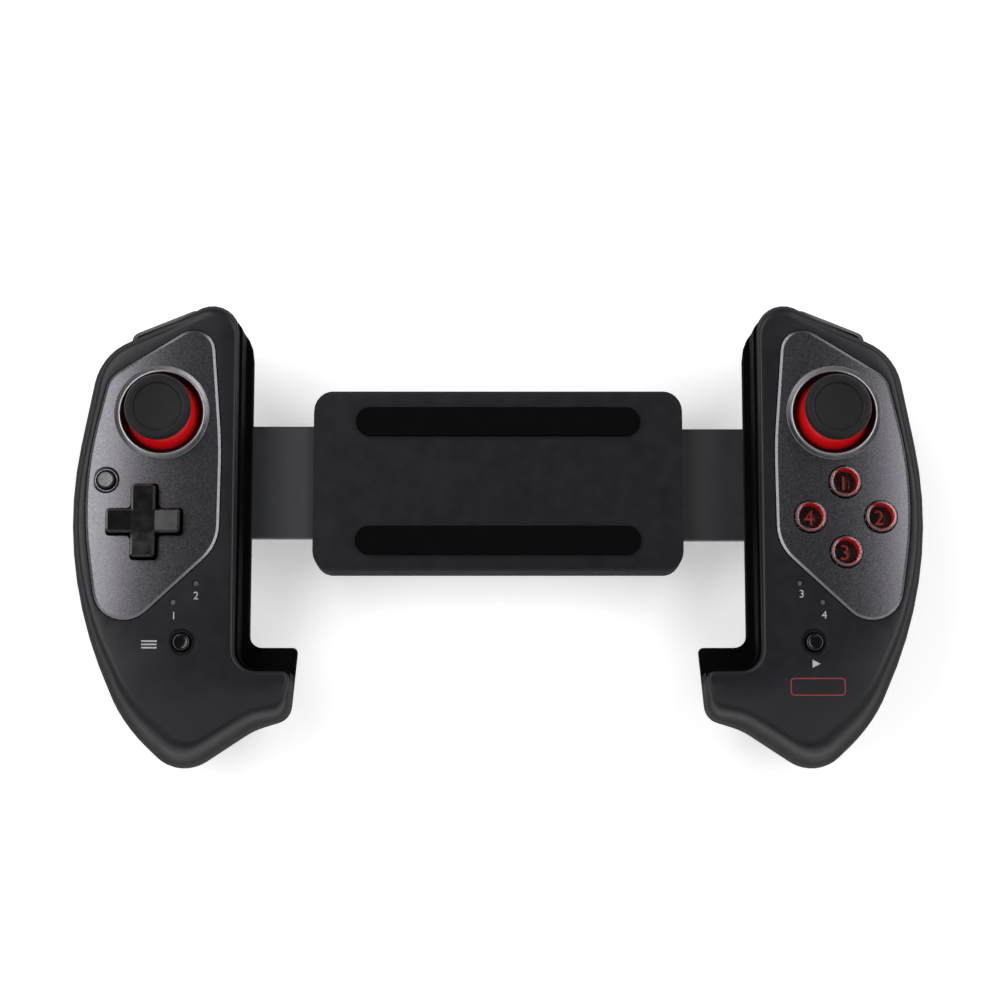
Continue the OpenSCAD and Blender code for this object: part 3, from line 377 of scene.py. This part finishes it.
# Grey wire with a line of light along it
spring_steel, tree, shader, place = new_finish("drawn_spring_wire", Metallic=1.0,
                                               Base_Color=linear("#9a9ca1"))
tree.links.new(mottle(tree, place, 0.5, 0.22, 0.36), shader.inputs["Roughness"])

# Silvery, softly creased foil
cell_foil, tree, shader, place = new_finish("laminated_cell_foil", Metallic=1.0,
                                            Base_Color=linear("#c6c3bb"))
tree.links.new(mottle(tree, place, 4, 0.25, 0.4), shader.inputs["Roughness"])
tree.links.new(grain(tree, place, 3, 0.05, 0.5), shader.inputs["Normal"])
print("inside:", board_laminate.name, bright_steel.name, black_steel.name, spring_steel.name, cell_foil.name)

# %% [markdown]
# ## Giving each solid its finish
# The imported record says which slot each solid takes, so the finishes are handed out from there. The
# solids arrive as flat triangles with doubled corners: a Weld modifier closes them, smooth shading rounds
# them, and an edge split keeps the real corners crisp. Pieces with very flat bevels need a smaller split
# angle.

# %% Hand out finishes
FINISHES = {
    "shell_plastic": shell_plastic, "plate_paint": plate_paint, "liner_rubber": liner_rubber,
    "bezel_metal": bezel_metal, "cap_rubber": cap_rubber, "dome_plastic": dome_plastic,
    "button_plastic": button_plastic, "action_plastic": button_plastic, "mode_plastic": mode_plastic,
    "lens_plastic": lens_plastic, "inner_plastic": inner_plastic, "board_laminate": board_laminate,
    "bright_steel": bright_steel, "spring_steel": spring_steel, "cell_foil": cell_foil,
}
OWN_FINISH = {"direction_pad": pad_plastic, "left_screws": black_steel, "right_screws": black_steel,
              "bridge_screws": black_steel}
CREASE = 32
OWN_CREASE = {"direction_pad": 3, "left_face_plate": 10, "right_face_plate": 10}
WELD = 0.002


def smooth(obj, angle):
    for face in obj.data.polygons:
        face.use_smooth = True
    weld = obj.modifiers.new("close corners", "WELD")
    weld.merge_threshold = WELD * MM
    split = obj.modifiers.new("keep corners crisp", "EDGE_SPLIT")
    split.split_angle = math.radians(angle)
    split.use_edge_sharp = False


slot_of = {part["node"]: part["material_slot"] for part in frame["record"]["subparts"]}
for name, obj in nodes.items():
    obj.data.materials.clear()
    obj.data.materials.append(OWN_FINISH.get(name, FINISHES[slot_of[name]]))
    smooth(obj, OWN_CREASE.get(name, CREASE))
print("finished solids:", len(slot_of))

# %% [markdown]
# ## Making round pieces
# Most small pieces of a controller are turned or moulded round, so one helper spins a profile, given as
# radius and height in millimetres, about an upright axis. A point on the axis becomes one vertex. Another
# helper hands a new piece its finish and lets it ride on the body that carries it, so that it moves when
# that body moves.

# %% Dressing helpers
CORNER = 40


def as_object(name, mesh):
    data = bpy.data.meshes.new(name)
    mesh.to_mesh(data)
    mesh.free()
    obj = bpy.data.objects.new(name, data)
    scene.collection.objects.link(obj)
    return obj


def dress(obj, finish, body):
    obj.data.materials.append(finish)
    for face in obj.data.polygons:
        face.use_smooth = True
    split = obj.modifiers.new("keep corners crisp", "EDGE_SPLIT")
    split.split_angle = math.radians(CORNER)
    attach(obj, body)
    return obj


print("corners stay crisp above", CORNER, "degrees")

# %% Lathe
ROUND_STEPS = 72


def spin(mesh, profile, centre, steps):
    rings = []
    for r, z in profile:
        turns = [2 * math.pi * k / steps for k in range(1 if r == 0 else steps)]
        rings.append([mesh.verts.new(((centre[0] + r * math.cos(t)) * MM, (centre[1] + r * math.sin(t)) * MM,
                                      z * MM)) for t in turns])
    for low, high in zip(rings, rings[1:]):
        for k in range(steps):
            n = k + 1
            corners = [low[k % len(low)], low[n % len(low)], high[n % len(high)], high[k % len(high)]]
            mesh.faces.new(list(dict.fromkeys(corners)))
    return rings[0]


def lathe(name, profile, centre, hollow=None, steps=ROUND_STEPS):
    """Spin a profile; a hollow is a second profile inside it, joined to it by a flat ring at the start."""
    mesh = bmesh.new()
    rim = spin(mesh, profile, centre, steps)
    if hollow:
        inner = spin(mesh, hollow, centre, steps)
        for k in range(steps):
            mesh.faces.new([rim[k], rim[(k + 1) % steps], inner[(k + 1) % steps], inner[k]])
    bmesh.ops.recalc_face_normals(mesh, faces=mesh.faces)
    return as_object(name, mesh)


print("steps round a turned piece:", ROUND_STEPS)

# %% [markdown]
# ## Action buttons
# Each of the four buttons is a clear polycarbonate cap over a deep red cup with a black floor, all in a
# black skirt that slides in the shell. The camera looks in at a slant, so it sees more of the far red
# wall than of the near one, and the red shows as a crescent. Painting a crescent would look wrong from
# any other side, so the cap, the cup and the floor are real pieces here.

# %% Button finishes
# Clear, with a thin bright line round the edge
clear_cap, tree, shader, place = new_finish("clear_polycarbonate", IOR=1.58, Transmission_Weight=1.0,
                                            Base_Color=linear("#e8e4e4"))
tree.links.new(mottle(tree, place, 2, 0.02, 0.06), shader.inputs["Roughness"])

# Deep red that glows where light falls into the cup
cup_red, tree, shader, place = new_finish("polished_abs_signal_red", IOR=1.53, Base_Color=linear("#c01412"))
tree.links.new(mottle(tree, place, 2, 0.2, 0.3), shader.inputs["Roughness"])
print("button finishes:", clear_cap.name, cup_red.name)

# %% [markdown]
# ## The pieces of a button
# Each button is four turned pieces, so each one is half an outline, with its heights in the frame of the
# solids. The cap could be one solid dome, but that would act as a lens; a thin shell with an inside of its
# own bends the light only at its edge. Rays that start at the camera hardly ever find a lamp through clear
# plastic, which would leave the cup in the dark, so the cap is told to cast no shadow.

# %% Profiles of a button
PLATE_TOP, ROOF = 38.5, 35.98
BUTTON_R, BUTTON_TOP = 4.4, 40.6
CAP_LOW, CAP_WALL, CAP_ROUND, CAP_ROUND_INSIDE, CROWN = PLATE_TOP + 0.1, 0.45, 1.1, 0.7, 0.08
STEM_LOW, STEM_R = 28.7, 1.8
FLANGE, FLANGE_R = 1.18, 5.1
BODY_LOW, BODY_R, PLAY = 33.3, 4.3, 0.05
WELL, WELL_R = 34.2, 3.5
CUP_R, CUP_TOP, CUP_FLOOR, CUP_RIM, CUP_BEVEL, CUP_FIT = 3.88, 39.5, 0.3, 0.13, 0.05, 0.03
DISC_R, DISC_LOW, DISC_SIDE, DISC_TOP = WELL_R - 0.01, WELL + 0.34, WELL + 0.5, WELL + 0.6
DISC_BEVEL, DISC_CROWN = 0.14, 0.02
CROWN_STEPS = 6


def cap_profile(r, top, round_r):
    edge = [(r - round_r + round_r * math.cos(t), top - CROWN - round_r + round_r * math.sin(t))
            for t in [math.radians(10 * k) for k in range(10)]]
    shares = [1 - k / CROWN_STEPS for k in range(1, CROWN_STEPS + 1)]
    crown = [((r - round_r) * share, top - CROWN * share ** 2) for share in shares]
    return [(r, CAP_LOW)] + edge + crown


def skirt_profile():
    stem = [(0, STEM_LOW), (STEM_R, STEM_LOW), (STEM_R, BODY_LOW)]
    body = [(BODY_R, BODY_LOW), (BODY_R, ROOF - FLANGE)]
    flange = [(FLANGE_R, ROOF - FLANGE), (FLANGE_R, ROOF), (BUTTON_R - PLAY, ROOF)]
    socket = [(BUTTON_R - PLAY, CAP_LOW), (CUP_R + CUP_FIT, CAP_LOW), (CUP_R + CUP_FIT, WELL), (0, WELL)]
    return stem + body + flange + socket


def cup_profile():
    outside = [(0, WELL + CUP_FIT), (CUP_R, WELL + CUP_FIT), (CUP_R, CUP_TOP - CUP_BEVEL)]
    rim = [(CUP_R - CUP_BEVEL, CUP_TOP), (CUP_R - CUP_RIM, CUP_TOP - 2 * CUP_BEVEL)]
    inside = [(WELL_R, WELL + CUP_FLOOR), (0, WELL + CUP_FLOOR)]
    return outside + rim + inside


def disc_profile():
    side = [(0, DISC_LOW), (DISC_R, DISC_LOW), (DISC_R, DISC_SIDE)]
    return side + [(DISC_R - DISC_BEVEL, DISC_TOP), (0, DISC_TOP + DISC_CROWN)]


print("depth of the cup in mm:", round(CUP_TOP - DISC_TOP, 2))

# %% Caps, skirts, cups and floors
ACTION, PITCH = (95.8, 3.2), 9.7
BUTTONS = {"outer_button": 0, "top_button": 1, "inner_button": 2, "bottom_button": 3}
button_at = {}
for name, quarter in BUTTONS.items():
    turn = math.pi / 2 * quarter
    at = (ACTION[0] + PITCH * math.cos(turn), ACTION[1] + PITCH * math.sin(turn))
    button_at[name] = at
    outside = cap_profile(BUTTON_R, BUTTON_TOP, CAP_ROUND)
    inside = cap_profile(BUTTON_R - CAP_WALL, BUTTON_TOP - CAP_WALL, CAP_ROUND_INSIDE)
    cap = lathe(name + "_cap", outside, at, inside)
    dress(cap, clear_cap, name)
    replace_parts(cap, name)
    cap.visible_shadow = False
    dress(lathe(name + "_skirt", skirt_profile(), at), button_plastic, name)
    dress(lathe(name + "_cup", cup_profile(), at), cup_red, name)
    dress(lathe(name + "_floor", disc_profile(), at), button_plastic, name)
print("buttons:", button_at)

# %% [markdown]
# ## Rubber domes
# Under the buttons lies a silicone mat with a hollow dome for each stem. The dome gives way when the
# button goes down and pushes it back up afterwards. A rigid dome would be cut by the stem, so each one is
# a piece of its own, and a dome under a button gets a mesh of its own. The four domes under the
# direction pad stand free of it.

# %% Shapes of mats and domes
MAT_LOW, MAT_TOP, MAT_EDGE = 24.6, 25.6, 0.2
DOME_TOP, DOME_GAP = 28.6, 0.06
DOME_SKIN = [(3.0, MAT_TOP), (2.7, 26.3), (2.2, 27.6), (1.95, 28.3), (1.8, 28.5), (1.6, DOME_TOP),
             (0, DOME_TOP)]
DOME_HOLLOW = [(2.4, MAT_TOP), (1.9, 26.8), (1.2, 27.4), (0, 27.5)]


def mat_sheet(name, at, r, body, post=()):
    edge = [(0, MAT_LOW), (r - MAT_EDGE, MAT_LOW), (r, MAT_LOW + MAT_EDGE), (r, MAT_TOP - MAT_EDGE),
            (r - MAT_EDGE, MAT_TOP)]
    return dress(lathe(name, edge + list(post or [(0, MAT_TOP)]), at), liner_rubber, body)


def rubber_dome(name, at, body, joint=None):
    dome = dress(lathe(name, DOME_SKIN, at, DOME_HOLLOW, steps=36), liner_rubber, body)
    if joint:
        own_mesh(dome)
    return dome


print("height of a dome in mm:", round(DOME_TOP - MAT_TOP, 2))

# %% Mats and domes
MENU, PAD, PAD_REACH = (86.6, -31.4), (-97.4, 1.8), 7.1
MAT_MARGIN = 3.6
BALL_Z, BALL_R, POST_R, POST_TOP = 34.0, 2.06, 2.2, 33.1
SEAT_HEIGHTS = [POST_TOP, 32.6, 32.2, 32.0]

ball_seat = [(math.sqrt(BALL_R ** 2 - (BALL_Z - z) ** 2), z) for z in SEAT_HEIGHTS]
post = [(POST_R, MAT_TOP), (POST_R, POST_TOP)] + ball_seat + [(0, BALL_Z - BALL_R)]
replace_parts(mat_sheet("pad_mat", PAD, PAD_REACH + MAT_MARGIN, "left_grip", post), "left_button_mat")
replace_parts(mat_sheet("action_mat", ACTION, PITCH + MAT_MARGIN, "right_grip"), "right_button_mat")
mat_sheet("mode_mat", MODE, MAT_MARGIN, "left_grip")
rubber_dome("mode_dome", MODE, "left_grip", "mode_press")
for grip, sign in (("left", -1), ("right", 1)):
    at = (sign * MENU[0], MENU[1])
    mat_sheet(grip + "_menu_mat", at, MAT_MARGIN, grip + "_grip")
    rubber_dome(grip + "_menu_dome", at, grip + "_grip", grip + "_menu_press")
for name, at in button_at.items():
    rubber_dome(name + "_dome", at, "right_grip", name.replace("button", "press"))
for k in range(4):
    turn = math.pi / 2 * k
    at = (PAD[0] + PAD_REACH * math.cos(turn), PAD[1] + PAD_REACH * math.sin(turn))
    rubber_dome(f"pad_dome_{k + 1}", at, "left_grip")

# %% [markdown]
# ## Return springs
# In each layer of the bridge a coil spring pulls its grip inwards. A rigid coil would be cut by the
# slider when the grips close. Here the spring's solid is swapped for a wire wound again, round by round,
# between the ends of that solid at rest.

# %% Winding a spring
WIRE_R, COIL_R, TURNS = 0.3, 1.9, 14
STEPS, SIDES = 24, 10


def coil(name, low, high):
    """Wind a wire along x between two corners in metres; each ring of points lies across the wire."""
    middle = (low + high) / 2
    first, last = low.x + WIRE_R * MM, high.x - WIRE_R * MM
    mesh = bmesh.new()
    rings = []
    for k in range(TURNS * STEPS + 1):
        turn = 2 * math.pi * k / STEPS
        out = Vector((0, math.cos(turn), math.sin(turn)))
        along = Vector((first + (last - first) * k / (TURNS * STEPS), middle.y, middle.z)) + COIL_R * MM * out
        around = [2 * math.pi * s / SIDES for s in range(SIDES)]
        rings.append([mesh.verts.new(along + WIRE_R * MM * (Vector((math.cos(t), 0, 0)) + math.sin(t) * out))
                      for t in around])
    for near, far in zip(rings, rings[1:]):
        for s in range(SIDES):
            mesh.faces.new([near[s], near[(s + 1) % SIDES], far[(s + 1) % SIDES], far[s]])
    mesh.faces.new(rings[0])
    mesh.faces.new(rings[-1])
    bmesh.ops.recalc_face_normals(mesh, faces=mesh.faces)
    obj = as_object(name, mesh)
    for face in obj.data.polygons:
        face.use_smooth = len(face.vertices) == 4
    obj.data.materials.append(spring_steel)
    return obj


print("turns of a spring:", TURNS)

# %% Return springs
for grip, sign in (("left", -1), ("right", 1)):
    node = grip + "_return_spring"
    low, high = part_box(node)
    spring = coil(grip + "_pull_spring", low, high)
    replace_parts(spring, node)
    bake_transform(spring)
print("spring length at rest in mm:", round((high.x - low.x) / MM, 1))

# %% [markdown]
# ## Marks
# Printed marks are ink a few hundredths of a millimetre thick that follows the surface below. The figures
# are made with Blender's own font, turned into a mesh, cut into small squares and dropped on the solid
# from above. Only plain numbers and simple signs are printed here.

# %% Inks
# Matt red, bright in the buttons
ink_red, tree, shader, place = new_finish("screen_ink_red", IOR=1.5, Base_Color=linear("#a81410"))
tree.links.new(mottle(tree, place, 0.4, 0.4, 0.6), shader.inputs["Roughness"])

# Matt red, sunk into the texture of the shell
ink_dull_red, tree, shader, place = new_finish("screen_ink_dull_red", IOR=1.5, Base_Color=linear("#7c2229"))
tree.links.new(mottle(tree, place, 0.4, 0.45, 0.6), shader.inputs["Roughness"])

# Matt light grey, a little worn
ink_grey, tree, shader, place = new_finish("screen_ink_light_grey", IOR=1.5)
tree.links.new(drift(tree, place, 0.5, "#8d8d90", "#b4b4b6"), shader.inputs["Base Color"])
tree.links.new(mottle(tree, place, 0.4, 0.5, 0.65), shader.inputs["Roughness"])
print("inks:", ink_red.name, ink_dull_red.name, ink_grey.name)

# %% Printing
INK, SQUARE, DROP_FROM = 0.02, 0.5, 200


def print_mark(name, mesh, below, finish, body):
    for axis in range(2):
        spans = [v.co[axis] for v in mesh.verts]
        for k in range(int(min(spans) / (SQUARE * MM)), int(max(spans) / (SQUARE * MM)) + 1):
            cut = Vector((0, 0, 0))
            cut[axis] = k * SQUARE * MM
            direction = Vector((0, 0, 0))
            direction[axis] = 1
            bmesh.ops.bisect_plane(mesh, geom=mesh.verts[:] + mesh.edges[:] + mesh.faces[:], plane_co=cut,
                                   plane_no=direction)
    for v in mesh.verts:
        hit, spot, _, _ = below.ray_cast(Vector((v.co.x, v.co.y, DROP_FROM * MM)), Vector((0, 0, -1)))
        v.co.z = (spot.z if hit else v.co.z) + INK * MM
    return dress(as_object(name, mesh), finish, body)


print("ink thickness in mm:", INK)

# %% [markdown]
# ## Figures
# The action buttons and the lamps are numbered from one to four. A button's figure lies on the black floor
# of its cup, below the clear cap, so it rides on the button and sinks with it. The lamps' figures lie on
# the shells.

# %% Outlines from the font
BUTTON_FIGURE, LAMP_FIGURE = 4.1, 2.1
CAPITAL_SHARE = 0.69


def figure_mesh(figure, height_mm, at):
    text = bpy.data.curves.new("figure", "FONT")
    text.body = figure
    text.align_x, text.align_y = "CENTER", "CENTER"
    text.size = height_mm * MM / CAPITAL_SHARE
    holder = bpy.data.objects.new("figure", text)
    scene.collection.objects.link(holder)
    bpy.context.view_layer.update()
    flat = bpy.data.meshes.new_from_object(holder.evaluated_get(bpy.context.evaluated_depsgraph_get()))
    mesh = bmesh.new()
    mesh.from_mesh(flat)
    bmesh.ops.translate(mesh, verts=mesh.verts, vec=(at[0] * MM, at[1] * MM, 0))
    bpy.data.objects.remove(holder)
    bpy.data.meshes.remove(flat)
    return mesh


print("font sizes in mm:", [round(height / CAPITAL_SHARE, 1) for height in (BUTTON_FIGURE, LAMP_FIGURE)])

# %% Figures
LAMP_FIGURES = {"1": (-88.8, -24.2), "2": (-82.8, -18.7), "3": (83.3, -18.2), "4": (89.4, -24.0)}

for name, figure in zip(["top_button", "outer_button", "bottom_button", "inner_button"], "1234"):
    mark = figure_mesh(figure, BUTTON_FIGURE, button_at[name])
    print_mark(name + "_figure", mark, bpy.data.objects[name + "_floor"], ink_red, name)
for figure, at in LAMP_FIGURES.items():
    grip = "left" if at[0] < 0 else "right"
    mark = figure_mesh(figure, LAMP_FIGURE, at)
    print_mark(f"lamp_figure_{figure}", mark, nodes[grip + "_front_shell"], ink_grey, grip + "_grip")
print("figures printed:", len(BUTTONS) + len(LAMP_FIGURES))

# %% [markdown]
# ## Signs
# Beside the menu buttons stand a sign of three bars and a sign of one arrow, and below the right one is a
# red frame with nothing in it. All are flat polygons, printed like the figures.

# %% Shapes of the signs
CORNER_STEPS = 6


def sign_mesh(loops):
    mesh = bmesh.new()
    for loop in loops:
        mesh.faces.new([mesh.verts.new((x * MM, y * MM, 0)) for x, y in loop])
    return mesh


def bar(x, y, w, h):
    return [(x - w / 2, y - h / 2), (x + w / 2, y - h / 2), (x + w / 2, y + h / 2), (x - w / 2, y + h / 2)]


def rounded(at, w, h, r):
    points = []
    for k, (sx, sy) in enumerate([(1, 1), (-1, 1), (-1, -1), (1, -1)]):
        corner = (at[0] + sx * (w / 2 - r), at[1] + sy * (h / 2 - r))
        turns = [math.pi / 2 * (k + step / CORNER_STEPS) for step in range(CORNER_STEPS + 1)]
        points += [(corner[0] + r * math.cos(t), corner[1] + r * math.sin(t)) for t in turns]
    return points


print("points round a frame:", 4 * (CORNER_STEPS + 1))

# %% Signs
BARS_AT, BAR_W, BAR_H, BAR_STEP = (-95.4, -32.0), 4.2, 0.42, 0.9
ARROW_AT, ARROW_R = (87.0, -37.3), 1.1
FRAME_AT, FRAME_W, FRAME_H, FRAME_ROUND, FRAME_LINE = (87.3, -43.6), 15.1, 4.9, 1.1, 0.35

bars = sign_mesh([bar(BARS_AT[0], BARS_AT[1] + k * BAR_STEP, BAR_W, BAR_H) for k in (-1, 0, 1)])
print_mark("menu_sign_bars", bars, nodes["left_front_shell"], ink_grey, "left_grip")

back_x = ARROW_AT[0] - ARROW_R
tip = (ARROW_AT[0] + ARROW_R, ARROW_AT[1])
arrow = sign_mesh([[(back_x, ARROW_AT[1] - ARROW_R), tip, (back_x, ARROW_AT[1] + ARROW_R)]])
print_mark("menu_sign_arrow", arrow, nodes["right_front_shell"], ink_grey, "right_grip")

outer = rounded(FRAME_AT, FRAME_W, FRAME_H, FRAME_ROUND)
inner = rounded(FRAME_AT, FRAME_W - 2 * FRAME_LINE, FRAME_H - 2 * FRAME_LINE, FRAME_ROUND - FRAME_LINE)
ahead = [(k + 1) % len(outer) for k in range(len(outer))]
strip = [[outer[k], outer[n], inner[n], inner[k]] for k, n in enumerate(ahead)]
red_frame = sign_mesh(strip)
print_mark("red_frame", red_frame, nodes["right_front_shell"], ink_dull_red, "right_grip")
print("pieces of the red frame:", len(strip))

# %% [markdown]
# ## Floor
# The object lies on white paper. Lit only by the lamps the paper would come out grey, and more light would
# wash out the blacks, so the paper adds a little light of its own where the camera, a reflection or a ray
# through clear plastic meets it. It reads as white and still takes the object's shadow.

# %% Floor
FLOOR_R, FLOOR_DROP = 4, 0.05
PAPER_LIFT = 0.4

bpy.ops.mesh.primitive_circle_add(vertices=96, radius=FLOOR_R, fill_type="NGON",
                                  location=(0, 0, -FLOOR_DROP * MM))
floor = bpy.context.object
floor.name = "floor"

# White with a soft grey shadow
paper, tree, shader, place = new_finish("white_paper", IOR=1.3, Base_Color=linear("#efefef"),
                                        Emission_Color=linear("#ffffff"))
tree.links.new(mottle(tree, place, 400, 0.85, 0.95), shader.inputs["Roughness"])
ray = add(tree, "ShaderNodeLightPath").outputs
seen = add(tree, "ShaderNodeMath", {0: ray["Is Camera Ray"], 1: ray["Is Glossy Ray"]}, operation="ADD")
seen = add(tree, "ShaderNodeMath", {0: seen.outputs[0], 1: ray["Is Transmission Ray"]}, operation="ADD",
           use_clamp=True)
lift = add(tree, "ShaderNodeMath", {0: seen.outputs[0], 1: PAPER_LIFT}, operation="MULTIPLY")
tree.links.new(lift.outputs[0], shader.inputs["Emission Strength"])
floor.data.materials.append(paper)
print("floor radius in m:", FLOOR_R)

# %% [markdown]
# ## Room
# The room could be a picture of a studio, but a plain gradient is easier to steer: pale at the height of
# the table, where the rims of the grips face, and dim overhead, where the faces do.

# %% World
HORIZON, CEILING, CEILING_FROM = 0.45, 0.04, 0.8

world = bpy.data.worlds.new("studio")
scene.world = world
world.use_nodes = True
tree = world.node_tree
aim_up = add(tree, "ShaderNodeTexCoord").outputs["Generated"]
height = add(tree, "ShaderNodeSeparateXYZ", {"Vector": aim_up}).outputs["Z"]
ramp = add(tree, "ShaderNodeMapRange", {"Value": height, "From Min": 0.0, "From Max": CEILING_FROM,
                                        "To Min": HORIZON, "To Max": CEILING})
back = tree.nodes["Background"]
back.inputs["Color"].default_value = linear("#ffffff")
tree.links.new(ramp.outputs["Result"], back.inputs["Strength"])
print("world:", world.name)

# %% [markdown]
# ## Softboxes
# Three large softboxes light the object: one over the left and one over the right, both reaching back past
# the top of the grips, and a wide, weaker one in front. The black faces mirror the dim gap between them and
# stay black, while everything that leans outward picks up a softbox.

# %% Softboxes
LIT_POINT = Vector((0, 0, 0.03))


def softbox(name, spot, watts, size):
    light = bpy.data.objects.new(name, bpy.data.lights.new(name, "AREA"))
    light.data.shape = "RECTANGLE"
    light.data.size, light.data.size_y = size
    light.data.energy = watts
    light.location = spot
    light.rotation_euler = (LIT_POINT - light.location).to_track_quat("-Z", "X").to_euler()
    scene.collection.objects.link(light)


softbox("softbox_left", (-0.80, 0.3, 1.1), 14.0, (0.72, 1.9))
softbox("softbox_right", (0.93, 0.3, 1.1), 12.9, (0.72, 1.9))
softbox("softbox_front", (0.06, -0.8, 1.05), 6.4, (0.9, 2.6))
scene.view_settings.view_transform = "Standard"
